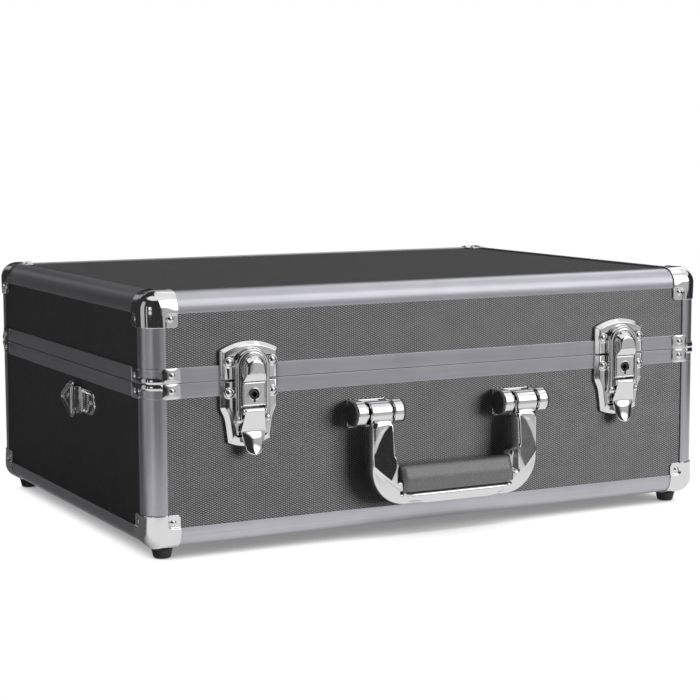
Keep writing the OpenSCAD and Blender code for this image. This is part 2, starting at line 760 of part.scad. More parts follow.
// Lock case with the key plug in its bore.
module latch_lock_case(side)
    color(chrome_colour) at_latch(side) difference() {
        front_slab(plate_out, lock_out) translate([-lock_w / 2, -lock_bottom])
            square([lock_w, lock_bottom - lock_top]);
        translate([0, -lock_out + plug_l, -lock_mid_z]) rotate([90, 0, 0])
            cylinder(r = plug_r + pin_play, h = plug_l + 1);
        front_slab(lock_out - 1, lock_out + 1) translate([-key_slot_w / 2, -lock_mid_z - plug_r - 2])
            square([key_slot_w, plug_r + 2]);
    }
module latch_key_plug(side)
    color(chrome_colour) at_latch(side) difference() {
        translate([0, -lock_out + plug_l, -lock_mid_z]) rotate([90, 0, 0])
            cylinder(r = plug_r, h = plug_l - plug_sunk);
        front_slab(lock_out - 3, lock_out) {
            translate([0, -lock_mid_z]) circle(r = 1.7);
            translate([-0.6, -lock_mid_z - 2.8]) square([1.2, 2.8]);
        }
    }

// Lever: a rolled top round its pin, two cheeks, and a tongue that curls outward.
tongue_steps = 8;
tip_z = lever_pin_z + lever_len;
function tongue_point(t) = [bend_out + lever_curl * t * t, -bend_z - (tip_z - bend_z) * t];
module lever_face()
    polygon(concat([[lever_pin_out + lever_top_r, -lever_pin_z]],
        [for (i = [0 : tongue_steps]) tongue_point(i / tongue_steps)],
        [for (i = [tongue_steps : -1 : 0]) tongue_point(i / tongue_steps) - [lever_t, 0]],
        [[lever_pin_out + lever_top_r - lever_t, -lever_pin_z]]));
module lever_cheek() {
    polygon([[lever_pin_out + lever_top_r - eps, -lever_pin_z], [bend_out - eps, -bend_z],
        [hasp_pin_out - hasp_end_r, -bend_z - 1], [hasp_pin_out - hasp_end_r, -hasp_pin_z],
        [lever_pin_out - lever_top_r + 0.2, -lever_pin_z]]);
    translate([hasp_pin_out, -hasp_pin_z]) circle(r = hasp_end_r);
}
module latch_lever(side)
    color(chrome_colour) at_latch(side) difference() {
        union() {
            x_rod(0, lever_pin_out, -lever_pin_z, lever_top_r, lever_w);
            for (s = signs) side_slab(s * (lever_w - lever_t) / 2, lever_t) lever_cheek();
            intersection() {
                side_slab(0, lever_w) lever_face();
                front_slab(0, lever_pin_out + lever_top_r + lever_curl + 1) {
                    translate([-lever_w / 2, -bend_z]) square([lever_w, bend_z]);
                    polygon([[-lever_w / 2, -bend_z], [lever_w / 2, -bend_z], [tongue_r, tongue_r - tip_z],
                        [-tongue_r, tongue_r - tip_z]]);
                    translate([0, tongue_r - tip_z]) circle(r = tongue_r);
                }
            }
        }
        x_rod(0, lever_pin_out, -lever_pin_z, latch_pin_r + pin_play, lever_w + 2);
        x_rod(0, hasp_pin_out, -hasp_pin_z, latch_pin_r + rivet_play, lever_w + 2);
    }
module latch_lever_pin(side)
    color(chrome_colour) at_latch(side)
        x_rod(0, lever_pin_out, -lever_pin_z, latch_pin_r, 2 * ear_x + ear_t);
module latch_hasp_pin(side)
    color(chrome_colour) at_latch(side) x_rod(0, hasp_pin_out, -hasp_pin_z, latch_pin_r, 2 * hasp_out_r);

// Hasp: an arch on two arms, closed at the top by a raised nose.
hasp_section = [
    [hasp_in_r, hasp_back], [hasp_out_r, hasp_back], [hasp_out_r, hasp_front - hasp_chamfer * 1.4],
    [hasp_out_r - hasp_chamfer, hasp_front], [hasp_in_r, hasp_front]
];
module latch_hasp(side)
    color(chrome_colour) at_latch(side) difference() {
        union() {
            translate([0, 0, hasp_arch_z]) rotate([90, 0, 0]) rotate_extrude(angle = 180, $fn = 96)
                polygon(hasp_section);
            for (s = signs) {
                upright_slab(-hasp_pin_z, hasp_arch_z) polygon([for (v = hasp_section) [s * v[0], v[1]]]);
                x_rod(s * (hasp_in_r + hasp_arm / 2), hasp_pin_out, -hasp_pin_z, hasp_end_r, hasp_arm);
            }
            hasp_nose();
        }
        x_rod(0, hasp_pin_out, -hasp_pin_z, latch_pin_r + pin_play, 2 * hasp_out_r + 2);
    }
module hasp_nose() {
    web = hasp_back + 1.6;
    lip_z = nose_gap - lock_top;
    top_z = hasp_arch_z + hasp_in_r;
    intersection() {
        front_slab(web, nose_out) {
            translate([0, hasp_arch_z]) circle(r = hasp_in_r + 0.3, $fn = 96);
            translate([-hasp_in_r - 0.3, lip_z]) square([2 * hasp_in_r + 0.6, hasp_arch_z - lip_z]);
        }
        side_slab(0, 3 * hasp_in_r) polygon([[web, lip_z], [lock_out, lip_z], [nose_out, lip_z + 4.6],
            [nose_out, top_z - 5.6], [nose_out - 2, top_z - 2.4], [hasp_front, top_z],
            [hasp_front - 1, top_z + 1], [web, top_z + 1]]);
        upright_slab(lip_z, top_z + 1) polygon([[-hasp_in_r - 0.3, web], [hasp_in_r + 0.3, web],
            [hasp_in_r + 0.3, hasp_front - 0.2], [hasp_in_r - 3.2, nose_out], [3.2 - hasp_in_r, nose_out],
            [-hasp_in_r - 0.3, hasp_front - 0.2]]);
    }
}

// Carrying handle: brackets with two knuckles each, the frame and its grip.
module handle_bracket(side)
    color(chrome_colour) difference() {
        at_handle() difference() {
            union() {
                front_slab(-panel_out, plate_front) translate([side * handle_x - bracket_w / 2, -cheek_r - 2])
                    square([bracket_w, 2 * cheek_r + 2]);
                for (s = signs) {
                    x = side * handle_x + s * cheek_x;
                    x_rod(x, handle_out, 0, cheek_r, cheek_w);
                    side_slab(x, cheek_w) translate([plate_front - eps, -cheek_r])
                        square([handle_out - plate_front, 2 * cheek_r]);
                }
            }
            x_rod(side * handle_x, handle_out, 0, handle_pin_r + rivet_play, bracket_w + 2);
        }
        as_base() rivet_holes(handle_rivets());
    }
arm_mid = handle_out + arm_set;
arm_back = arm_mid - arm_d / 2;
arm_front = arm_mid + arm_d / 2;
module arm_section()
    polygon([[-arm_w / 2 + arm_chamfer, arm_back], [arm_w / 2 - arm_chamfer, arm_back],
        [arm_w / 2, arm_back + arm_chamfer], [arm_w / 2, arm_front - arm_chamfer],
        [arm_w / 2 - arm_chamfer, arm_front], [-arm_w / 2 + arm_chamfer, arm_front],
        [-arm_w / 2, arm_front - arm_chamfer], [-arm_w / 2, arm_back + arm_chamfer]]);
module bar_section(z1, z2, c1)
    polygon([[arm_back + c1, z1], [arm_front - c1, z1], [arm_front, z1 + c1], [arm_front, z2],
        [arm_back, z2], [arm_back, z1 + c1]]);
module handle_frame()
    color(chrome_colour) at_handle() difference() {
        bend_x = handle_x + arm_w / 2 - handle_corner_r;
        bend_z = handle_corner_r - handle_len;
        union() {
            difference() {
                union() {
                    for (s = signs) {
                        translate([s * handle_x, 0, 0]) upright_slab(bend_z, 0) arm_section();
                        mirror([s > 0 ? 0 : 1, 0, 0]) translate([bend_x, 0, bend_z]) rotate([-90, 0, 0])
                            mirror([0, 0, 1]) corner_sweep();
                        side_slab(s * (bend_x + handle_x) / 2, handle_x - bend_x)
                            bar_section(bend_z - arm_w * 0.7, -grip_top, 0);
                    }
                    side_slab(0, 2 * bend_x) bar_section(-handle_len, -grip_top, arm_chamfer);
                }
                translate([-grip_w / 2 - grip_play, -arm_front - 1, strip_h - handle_len])
                    cube([grip_w + 2 * grip_play, arm_d + 2, grip_bar_h]);
            }
            side_slab(0, grip_w + 2) translate([arm_mid - core_t / 2, strip_h - handle_len - 1])
                square([core_t, core_h + 1]);
            for (s = signs) {
                x_rod(s * handle_x, handle_out, 0, barrel_r, arm_w);
                x_rod(s * handle_x, arm_front - barrel_r, 0, barrel_r, arm_w);
                x_rod(s * handle_x, handle_out, 0, collar_r, arm_w + 2 * collar_w);
            }
        }
        for (s = signs)
            x_rod(s * handle_x, handle_out, 0, handle_pin_r + pin_play, arm_w + 2 * collar_w + 2);
    }
module corner_sweep()
    rotate_extrude(angle = 90, $fn = 96) translate([handle_corner_r - arm_w / 2, 0]) arm_section();
module handle_grip()
    color(grip_colour) at_handle() difference() {
        side_slab(0, grip_w) translate([arm_back, strip_h - handle_len + grip_play])
            round_rect(grip_out - arm_back, grip_bar_h - strip_h - grip_play, grip_r);
        side_slab(0, grip_w + 2) translate([arm_mid - core_t / 2 - grip_play, strip_h - handle_len - 1])
            square([core_t + 2 * grip_play, core_h + grip_play + 1]);
    }
module round_rect(w, h, r) {
    translate([r, 0]) square([w - 2 * r, h]);
    translate([0, r]) square([w, h - 2 * r]);
    for (x = [r, w - r], y = [r, h - r]) translate([x, y]) circle(r = r);
}
module handle_pins()
    color(panel_colour) at_handle() for (side = signs) {
        x_rod(side * handle_x, handle_out, 0, handle_pin_r, bracket_w);
        for (s = signs)
            x_rod(side * handle_x + s * (bracket_w + pin_head_t) / 2, handle_out, 0, pin_head_r, pin_head_t);
    }

// Strap rings: a plate with a barrel, and a three-sided wire ring that swings in it.
module strap_plate(side)
    color(chrome_colour) difference() {
        at_ring(side) difference() {
            union() {
                front_slab(-panel_out, ring_plate_t - panel_out) {
                    translate([-ring_rivet_x, -ring_plate_h / 2]) square([2 * ring_rivet_x, ring_plate_h]);
                    for (s = signs) translate([s * ring_rivet_x, 0]) circle(r = ring_plate_h / 2);
                }
                upright_slab(-ring_barrel_l / 2, ring_barrel_l / 2) {
                    translate([0, ring_out]) circle(r = ring_barrel_r);
                    translate([-ring_barrel_r, ring_plate_t - panel_out - eps])
                        square([2 * ring_barrel_r, ring_out - ring_plate_t + panel_out]);
                }
            }
            translate([0, -ring_out, -ring_barrel_l]) cylinder(r = wire_r + pin_play, h = 2 * ring_barrel_l);
        }
        as_base() rivet_holes(ring_rivets());
    }
module strap_ring(side)
    color(chrome_colour) at_ring(side) translate([0, -ring_out, 0]) {
        cylinder(r = wire_r, h = 2 * ring_half, center = true);
        for (s = signs) {
            translate([0, 0, s * ring_half]) sphere(r = wire_r + ring_joint, $fn = 96);
            translate([0, 0, s * ring_half]) rotate([0, s > 0 ? ring_angle - 180 : -ring_angle, 0])
                cylinder(r = wire_r, h = norm([ring_len, ring_half]));
        }
        translate([-ring_len, 0, 0]) sphere(r = wire_r + ring_joint, $fn = 96);
    }

// Foam inside.
module foam_block(x1, x2, y1, y2, z1, z2) translate([x1, y1, z1]) cube([x2 - x1, y2 - y1, z2 - z1]);
module base_floor_pad()
    color(foam_colour) as_base() foam_block(-pad_x, pad_x, -pad_y, pad_y, inner_d + foam_gap, floor_top);
module base_wall_pads()
    color(foam_colour) as_base() {
        z2 = base_h - pad_top_gap;
        for (s = signs) {
            foam_block(-pad_x, pad_x, min(s * pad_y, s * cell_y), max(s * pad_y, s * cell_y), wall_pad_z, z2);
            foam_block(min(s * pad_x, s * cell_x), max(s * pad_x, s * cell_x), -cell_y + foam_gap,
                cell_y - foam_gap, wall_pad_z, z2);
        }
    }
divider_z = base_h - divider_top_gap;
divider_end_x = cell_x - foam_gap;
divider_end_y = cell_y - foam_gap;
module long_divider()
    color(foam_colour) as_base()
        foam_block(-divider_end_x, divider_end_x, -divider_t / 2, divider_t / 2, wall_pad_z, divider_z);
module cross_dividers()
    color(foam_colour) as_base() {
        for (x = [-cell_x / 3, cell_x / 3])
            foam_block(x - divider_t / 2, x + divider_t / 2, -divider_end_y, -divider_t / 2 - foam_gap,
                wall_pad_z, divider_z);
        foam_block(cell_x / 5 - divider_t / 2, cell_x / 5 + divider_t / 2, divider_t / 2 + foam_gap,
            divider_end_y, wall_pad_z, divider_z);
    }
module lid_pad()
    color(foam_colour) as_lid()
        foam_block(-pad_x, pad_x, -pad_y, pad_y, inner_d + foam_gap, inner_d + foam_gap + lid_pad_t);

base_floor_panel();
base_long_panel(0);  // base_front_panel
base_long_panel(180);  // base_rear_panel
base_short_panel(0);  // base_left_panel
base_short_panel(180);  // base_right_panel
base_rails();
base_corner_posts();
base_bottom_edges();
base_ball_corners();
base_rail_brackets();
base_rivets();
feet();
foot_screws();
lid_top_panel();
lid_long_panel(0);  // lid_front_panel
lid_long_panel(180);  // lid_rear_panel
lid_short_panel(0);  // lid_left_panel
lid_short_panel(180);  // lid_right_panel
lid_rails();
lid_corner_posts();
lid_top_edges();
lid_ball_corners();
lid_rail_brackets();
lid_rivets();
hinge_base_leaves();
hinge_lid_leaves();
hinge_pins();
latch_base_plate(-1);  // left_latch_base_plate
latch_lid_plate(-1);  // left_latch_lid_plate
latch_lock_case(-1);  // left_latch_lock_case
latch_key_plug(-1);  // left_latch_key_plug
latch_lever(-1);  // left_latch_lever
latch_hasp(-1);  // left_latch_hasp
latch_lever_pin(-1);  // left_latch_lever_pin
latch_hasp_pin(-1);  // left_latch_hasp_pin
latch_base_plate(1);  // right_latch_base_plate
latch_lid_plate(1);  // right_latch_lid_plate
latch_lock_case(1);  // right_latch_lock_case
latch_key_plug(1);  // right_latch_key_plug
latch_lever(1);  // right_latch_lever
latch_hasp(1);  // right_latch_hasp
latch_lever_pin(1);  // right_latch_lever_pin
latch_hasp_pin(1);  // right_latch_hasp_pin
handle_bracket(-1);  // handle_left_bracket
handle_bracket(1);  // handle_right_bracket
handle_frame();
handle_grip();
handle_pins();
strap_plate(-1);  // left_strap_plate
strap_plate(1);  // right_strap_plate
strap_ring(-1);  // left_strap_ring
strap_ring(1);  // right_strap_ring
base_wall_pads();
base_floor_pad();
long_divider();
cross_dividers();
lid_pad();
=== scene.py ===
import math

import bmesh
import bpy
import numpy as np
from mathutils import Matrix


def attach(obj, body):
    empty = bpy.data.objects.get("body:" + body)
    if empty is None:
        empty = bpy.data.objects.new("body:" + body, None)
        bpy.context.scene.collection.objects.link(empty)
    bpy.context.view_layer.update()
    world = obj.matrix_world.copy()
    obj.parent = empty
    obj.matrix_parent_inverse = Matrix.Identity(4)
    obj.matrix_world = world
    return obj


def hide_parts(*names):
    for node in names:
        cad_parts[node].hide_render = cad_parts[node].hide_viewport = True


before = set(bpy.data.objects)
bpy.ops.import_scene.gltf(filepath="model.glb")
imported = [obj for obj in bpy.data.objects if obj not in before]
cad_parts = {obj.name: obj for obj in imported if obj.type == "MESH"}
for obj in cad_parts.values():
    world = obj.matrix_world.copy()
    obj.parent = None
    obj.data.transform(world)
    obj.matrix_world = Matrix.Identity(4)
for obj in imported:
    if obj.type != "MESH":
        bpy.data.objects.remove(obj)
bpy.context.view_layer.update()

# Sizes in millimetres, as the CAD model has them.
MM = 0.001
CASE_W, CASE_D, BASE_H, LID_H = 460.0, 326.0, 114.0, 62.0
EDGE_R, FLANGE, SKIN, INNER, SLOT_IN = 12.0, 14.8, 1.2, 6.4, 5.4
RAIL_TOP, RAIL_SLOT, GAP = 10.55, 6.0, 0.15
CAP, REACH = 1.2, 24.0
CASE_Y, FRONT, BACK = 8.4, -154.6, 171.4
FLOOR, PART, TOP = 8.0, 122.0, 184.0
HANDLE_X, HANDLE_Z = 60.5, PART - 29.0
LATCH_X = 154.5
PLATE_OUT = 4.0
HINGE_X = 130.0
RING_Y, RING_Z = FRONT + 134.0, PART - 26.0

# Camera, worked out from the edges of the case in the photograph.
CAMERA_AT = (-683.15, -1320.81, 293.09)
CAMERA_YAW, CAMERA_PITCH, CAMERA_ROLL = 0.4801, 0.1179, -0.0028
LENS, SENSOR = 96.51, 36.0

scene = bpy.context.scene


# Points and outlines

def place(origin, u, v, h):
    """Returns a function that puts (u, v, h) points at origin along three directions."""
    axes = np.array([u, v, h], float)
    at = np.array(origin, float)
    return lambda p: np.asarray(p, float).reshape(-1, 3) @ axes + at


def on_front(x, z):
    return place((x, FRONT, z), (1, 0, 0), (0, 0, 1), (0, -1, 0))


def on_back(x, z):
    return place((x, BACK, z), (-1, 0, 0), (0, 0, 1), (0, 1, 0))


def across_front(x, z):
    """For outlines drawn in (out, up) and given a width along x."""
    return place((x, FRONT, z), (0, -1, 0), (0, 0, 1), (1, 0, 0))


def across_back(x, z):
    return place((x, BACK, z), (0, 1, 0), (0, 0, 1), (1, 0, 0))


def on_side(side):
    return place((side * CASE_W / 2, RING_Y, RING_Z), (0, -1, 0), (0, 0, 1), (side, 0, 0))


def corner_frames(lid):
    """The four corners of one half, each with its axes pointing inward from the corner."""
    for sx in (-1, 1):
        for sy in (-1, 1):
            origin = (sx * CASE_W / 2, CASE_Y + sy * CASE_D / 2, TOP if lid else FLOOR)
            yield place(origin, (-sx, 0, 0), (0, -sy, 0), (0, 0, -1 if lid else 1))


def half_frame(lid):
    """Middle of one half, heights measured from its outside face."""
    return place((0, CASE_Y, TOP if lid else FLOOR), (1, 0, 0), (0, 1, 0), (0, 0, -1 if lid else 1))


def inset(outline, distance, weights=None):
    """Moves each edge of a counter-clockwise outline inward."""
    p = np.asarray(outline, float)
    n = len(p)
    edge = np.roll(p, -1, 0) - p
    edge /= np.linalg.norm(edge, axis=1)[:, None]
    normal = np.stack([-edge[:, 1], edge[:, 0]], 1)
    d = np.full(n, float(distance)) if weights is None else distance * np.asarray(weights, float)
    out = []
    for i in range(n):
        n1, n2, d1, d2 = normal[i - 1], normal[i], d[i - 1], d[i]
        det = n1[0] * n2[1] - n1[1] * n2[0]
        if abs(det) < 1e-4:
            out.append(p[i] + n2 * d2)
        else:
            out.append(p[i] + np.array([d1 * n2[1] - d2 * n1[1], d2 * n1[0] - d1 * n2[0]]) / det)
    return np.array(out)


def fillet(points, radii, k=5):
    """Rounds the corners of an outline."""
    p = np.asarray(points, float)
    n = len(p)
    radii = [radii] * n if np.isscalar(radii) else radii
    out = []
    for i in range(n):
        b = p[i]
        u, w = p[i - 1] - b, p[(i + 1) % n] - b
        lu, lw = np.linalg.norm(u), np.linalg.norm(w)
        u, w = u / lu, w / lw
        half = math.acos(max(-1, min(1, float(u @ w)))) / 2
        if radii[i] <= 0 or half > 1.5:
            out.append(b)
            continue
        t = min(radii[i] / math.tan(half), lu * 0.49, lw * 0.49)
        r = t * math.tan(half)
        centre = b + (u + w) / np.linalg.norm(u + w) * r / math.sin(half)
        a = b + u * t - centre
        c = b + w * t - centre
        a0 = math.atan2(a[1], a[0])
        turn = (math.atan2(c[1], c[0]) - a0 + math.pi) % (2 * math.pi) - math.pi
        out += [centre + r * np.array([math.cos(a0 + turn * j / k), math.sin(a0 + turn * j / k)])
                for j in range(k + 1)]
    return np.array(out)


def rect(x1, x2, y1, y2, r=0.0, k=5):
    return fillet([(x1, y1), (x2, y1), (x2, y2), (x1, y2)], r, k)


def arc(cx, cy, r, a1, a2, n):
    return [(cx + r * math.cos(math.radians(a)), cy + r * math.sin(math.radians(a)))
            for a in np.linspace(a1, a2, n)]


def level(outline, h):
    outline = np.asarray(outline, float)
    return np.column_stack([outline, np.full(len(outline), float(h))])


# Solids

def loft(loops, start=True, end=True, closed=True):
    n = len(loops[0])
    verts = np.concatenate([np.asarray(a, float) for a in loops])
    faces = []
    for i in range(len(loops) - 1):
        for j in range(n if closed else n - 1):
            k = (j + 1) % n
            faces.append((i * n + j, i * n + k, (i + 1) * n + k, (i + 1) * n + j))
    if start:
        faces.append(tuple(reversed(range(n))))
    if end:
        faces.append(tuple((len(loops) - 1) * n + j for j in range(n)))
    return verts, faces


def slab(outline, h1, h2, r=0.3, back=0.0, weights=None, steps=3):
    """An outline with thickness, its front edge rounded by r and its back edge by back."""
    loops = []
    turns = [math.pi / 2 * i / steps for i in range(steps + 1)]
    if back:
        loops += [level(inset(outline, back * (1 - math.sin(a)), weights), h1 + back * (1 - math.cos(a)))
                  for a in turns]
    else:
        loops.append(level(outline, h1))
    loops += [level(inset(outline, r * (1 - math.cos(a)), weights), h2 - r * (1 - math.sin(a)))
              for a in turns]
    return loft(loops)


def pressed(outline, rim, weights=None, radii=None):
    """A plate whose rim is a list of (distance inward, height)."""
    loops = []
    for d, h in rim:
        loop = inset(outline, d, weights)
        if radii is not None:
            loop = fillet(loop, [max(r - d, 0.25) if r else 0 for r in radii], 3)
        loops.append(level(loop, h))
    return loft(loops)


def lathe(profile, n=40):
    turn = np.linspace(0, 2 * math.pi, n, endpoint=False)
    ring = np.column_stack([np.cos(turn), np.sin(turn)])
    return loft([level(ring * max(r, 1e-3), h) for r, h in profile])


def tube(path, r, n=16):
    p = np.asarray(path, float)
    t = np.gradient(p, axis=0)
    t /= np.linalg.norm(t, axis=1)[:, None]
    ref = np.cross(t[0], (0.31, 0.52, 0.79))
    loops = []
    for i in range(len(p)):
        ref = ref - t[i] * (ref @ t[i])
        ref /= np.linalg.norm(ref)
        side = np.cross(t[i], ref)
        radius = r if np.isscalar(r) else r[i]
        turn = np.linspace(0, 2 * math.pi, n, endpoint=False)
        loops.append(p[i] + radius * (np.cos(turn)[:, None] * ref + np.sin(turn)[:, None] * side))
    return loft(loops)


def shell(outer, inner, faces):
    """Joins a sheet and its copy below it into a closed solid."""
    seen, index = {}, []
    for p in np.round(outer, 3):
        index.append(seen.setdefault(tuple(p), len(index)))
    faces = [tuple(index[i] for i in f) for f in faces]
    faces = [f for f in faces if len(set(f)) > 2]
    count = {}
    for f in faces:
        for a, b in zip(f, f[1:] + f[:1]):
            count.setdefault((min(a, b), max(a, b)), []).append((a, b))
    n = len(outer)
    rim = [(b, a, a + n, b + n) for e in count.values() if len(e) == 1 for a, b in e]
    return np.concatenate([outer, inner]), faces + [tuple(i + n for i in reversed(f)) for f in faces] + rim


class Shape:
    """Solids that make up one piece, in millimetres."""

    def __init__(self):
        self.verts, self.faces, self.count = [], [], 0

    def add(self, solid, to=None):
        verts, faces = solid
        verts = np.asarray(verts, float).reshape(-1, 3)
        if to is not None:
            verts = to(verts)
        self.verts.append(verts)
        self.faces += [tuple(i + self.count for i in f) for f in faces]
        self.count += len(verts)
        return self


def bake(ob):
    """Applies the modifiers of an object to its mesh."""
    graph = bpy.context.evaluated_depsgraph_get()
    mesh = bpy.data.meshes.new_from_object(ob.evaluated_get(graph), preserve_all_data_layers=True,
                                           depsgraph=graph)
    ob.modifiers.clear()
    ob.data = mesh


def mark_sharp(ob, angle):
    bm = bmesh.new()
    bm.from_mesh(ob.data)
    for f in bm.faces:
        f.smooth = True
    for e in bm.edges:
        e.smooth = len(e.link_faces) == 2 and e.calc_face_angle(0) < math.radians(angle)
    bm.to_mesh(ob.data)
    bm.free()


def piece(name, shape, body, material, nodes, bevel=0.0, sharp=42):
    mesh = bpy.data.meshes.new(name)
    mesh.from_pydata((np.concatenate(shape.verts) * MM).tolist(), [], shape.faces)
    bm = bmesh.new()
    bm.from_mesh(mesh)
    bmesh.ops.remove_doubles(bm, verts=bm.verts, dist=0.003 * MM)
    bmesh.ops.delete(bm, geom=[v for v in bm.verts if not v.link_faces], context="VERTS")
    bmesh.ops.recalc_face_normals(bm, faces=bm.faces)
    bm.to_mesh(mesh)
    bm.free()
    mesh.materials.append(material)
    ob = bpy.data.objects.new(name, mesh)
    scene.collection.objects.link(ob)
    if bevel:
        m = ob.modifiers.new("bevel", "BEVEL")
        m.width = bevel * MM
        m.segments = 2
        m.limit_method = "ANGLE"
        m.angle_limit = math.radians(45)
        bake(ob)
    mark_sharp(ob, sharp)
    m = ob.modifiers.new("normals", "WEIGHTED_NORMAL")
    m.keep_sharp = True
    bake(ob)
    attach(ob, body)
    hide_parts(*nodes)
    return ob


# Materials

class Nodes:
    """Short calls for building a node tree."""

    def __init__(self, tree):
        self.tree = tree

    def add(self, kind, inputs=None, **settings):
        n = self.tree.nodes.new(kind)
        for key, value in settings.items():
            setattr(n, key, value)
        for key, value in (inputs or {}).items():
            if isinstance(value, bpy.types.NodeSocket):
                self.tree.links.new(value, n.inputs[key])
            else:
                n.inputs[key].default_value = value
        return n

    def math(self, operation, *values, clamp=False):
        n = self.add("ShaderNodeMath", dict(enumerate(values)), operation=operation, use_clamp=clamp)
        return n.outputs[0]

    def ramp(self, value, low, high, to_low=0.0, to_high=1.0, smooth=True):
        n = self.add("ShaderNodeMapRange", {"Value": value, "From Min": low, "From Max": high,
                                            "To Min": to_low, "To Max": to_high},
                     interpolation_type="SMOOTHSTEP" if smooth else "LINEAR")
        return n.outputs["Result"]

    def mix(self, factor, a, b):
        n = self.add("ShaderNodeMix", {0: factor, 6: a, 7: b}, data_type="RGBA")
        return n.outputs[2]

    def noise(self, vector, scale, detail=2.0):
        return self.add("ShaderNodeTexNoise", {"Vector": vector, "Scale": scale, "Detail": detail}).outputs["Fac"]


def new_material(name, metallic=0.0, **sockets):
    m = bpy.data.materials.new(name)
    m.use_nodes = True
    t = Nodes(m.node_tree)
    shader = m.node_tree.nodes["Principled BSDF"]
    shader.inputs["Metallic"].default_value = metallic
    for key, value in sockets.items():
        shader.inputs[key.replace("_", " ")].default_value = value
    where = t.add("ShaderNodeTexCoord").outputs["Object"]
    return m, t, shader, where


def bump(t, shader, height, strength, distance):
    n = t.add("ShaderNodeBump", {"Height": height, "Strength": strength, "Distance": distance})
    t.tree.links.new(n.outputs["Normal"], shader.inputs["Normal"])


def grey(v, tint=(1, 1, 1)):
    return (v * tint[0], v * tint[1], v * tint[2], 1)


def panel_material(name, axes, gloss=0.28, painted_shade_scale=1.0):
    """Dark laminate with raised dashes set in staggered rows, drawn in two of the object's axes. The last argument
    scales every colour down, painting shade onto a copy of the laminate.
    """
    m, t, shader, where = new_material(name, Specular_IOR_Level=gloss)
    xyz = t.add("ShaderNodeSeparateXYZ", {0: where}).outputs
    u = t.math("MULTIPLY", xyz[axes[0]], 2 * math.pi / 0.0034)
    v = t.math("MULTIPLY", xyz[axes[1]], 2 * math.pi / 0.00160)
    wave = t.math("MULTIPLY", t.math("COSINE", u), t.math("COSINE", v))
    dots = t.ramp(wave, 0.0, 0.6)
    patch = t.noise(where, 60.0, 3.0)
    fine = t.noise(where, 2600.0, 2.0)
    tone = t.math("ADD", t.math("MULTIPLY", dots, 0.62), t.math("MULTIPLY", fine, 0.3))
    tone = t.math("ADD", tone, t.math("MULTIPLY", t.math("SUBTRACT", patch, 0.5), 0.12), clamp=True)
    # Both colours are scaled by the painted-shade factor, so a copy with a lower factor is the same laminate with
    # painted shade.
    colour = t.mix(tone, grey(0.016 * painted_shade_scale), grey(0.31 * painted_shade_scale))
    t.tree.links.new(colour, shader.inputs["Base Color"])
    t.tree.links.new(t.ramp(tone, 0.0, 1.0, 0.62, 0.46), shader.inputs["Roughness"])
    bump(t, shader, t.math("ADD", dots, t.math("MULTIPLY", fine, 0.15)), 0.5, 0.00030)
    return m


def profile_material(name, scale):
    m, t, shader, where = new_material(name, 1.0)
    stretch = t.add("ShaderNodeMapping", {"Vector": where, "Scale": scale}).outputs[0]
    streak = t.noise(stretch, 900.0, 4.0)
    cloud = t.noise(where, 35.0, 2.0)
    grain = t.noise(where, 9000.0, 2.0)
    tone = t.math("ADD", t.math("MULTIPLY", streak, 0.6), t.math("MULTIPLY", cloud, 0.4))
    t.tree.links.new(t.mix(tone, grey(0.44, (0.97, 0.965, 1.06)), grey(0.72, (0.98, 0.97, 1.05))),
                     shader.inputs["Base Color"])
    t.tree.links.new(t.ramp(t.math("ADD", t.math("MULTIPLY", grain, 0.5), t.math("MULTIPLY", streak, 0.5)),
                            0.2, 0.8, 0.28, 0.42), shader.inputs["Roughness"])
    bump(t, shader, t.math("ADD", streak, t.math("MULTIPLY", grain, 0.5)), 0.12, 0.00002)
    return m


def chrome_material(name="bright_chrome", tone=0.86, low=0.05, high=0.13, wave=0.00003):
    m, t, shader, where = new_material(name, 1.0)
    smudge = t.noise(where, 140.0, 3.0)
    t.tree.links.new(t.mix(smudge, grey(tone * 0.94), grey(tone)), shader.inputs["Base Color"])
    t.tree.links.new(t.ramp(smudge, 0.3, 0.75, low, high), shader.inputs["Roughness"])
    bump(t, shader, smudge, 0.3, wave)
    return m


def plastic_material(name, dark, light, rough, scale, depth, gloss=0.5):
    m, t, shader, where = new_material(name, Specular_IOR_Level=gloss)
    grain = t.noise(where, scale, 3.0)
    cloud = t.noise(where, 90.0, 2.0)
    tone = t.math("ADD", t.math("MULTIPLY", grain, 0.5), t.math("MULTIPLY", cloud, 0.5))
    t.tree.links.new(t.mix(tone, grey(dark), grey(light)), shader.inputs["Base Color"])
    t.tree.links.new(t.ramp(grain, 0.2, 0.8, rough - 0.08, rough + 0.08), shader.inputs["Roughness"])
    bump(t, shader, grain, 0.4, depth)
    return m


def fabric_material():
    """Short-pile cloth with a fine weave under the pile."""
    m, t, shader, where = new_material("lining_cloth", 0.0, Sheen_Weight=0.5, Sheen_Roughness=0.45,
                                       Specular_IOR_Level=0.15)
    xyz = t.add("ShaderNodeSeparateXYZ", {0: where}).outputs
    k = 2 * math.pi / 0.0011
    diagonal = t.math("ADD", t.math("ADD", xyz[0], xyz[1]), xyz[2])
    other = t.math("ADD", t.math("SUBTRACT", xyz[0], xyz[1]), xyz[2])
    weave = t.math("MULTIPLY", t.math("SINE", t.math("MULTIPLY", diagonal, k)),
                   t.math("SINE", t.math("MULTIPLY", other, k)))
    pile = t.noise(where, 2400.0, 3.0)
    cloud = t.noise(where, 22.0, 4.0)
    tone = t.math("ADD", t.math("MULTIPLY", pile, 0.6), t.math("MULTIPLY", cloud, 0.4))
    t.tree.links.new(t.mix(tone, grey(0.018), grey(0.060, (1, 1, 1.04))), shader.inputs["Base Color"])
    t.tree.links.new(t.ramp(pile, 0.2, 0.8, 0.8, 0.97), shader.inputs["Roughness"])
    bump(t, shader, t.math("ADD", pile, t.math("MULTIPLY", weave, 0.25)), 0.7, 0.0004)
    return m


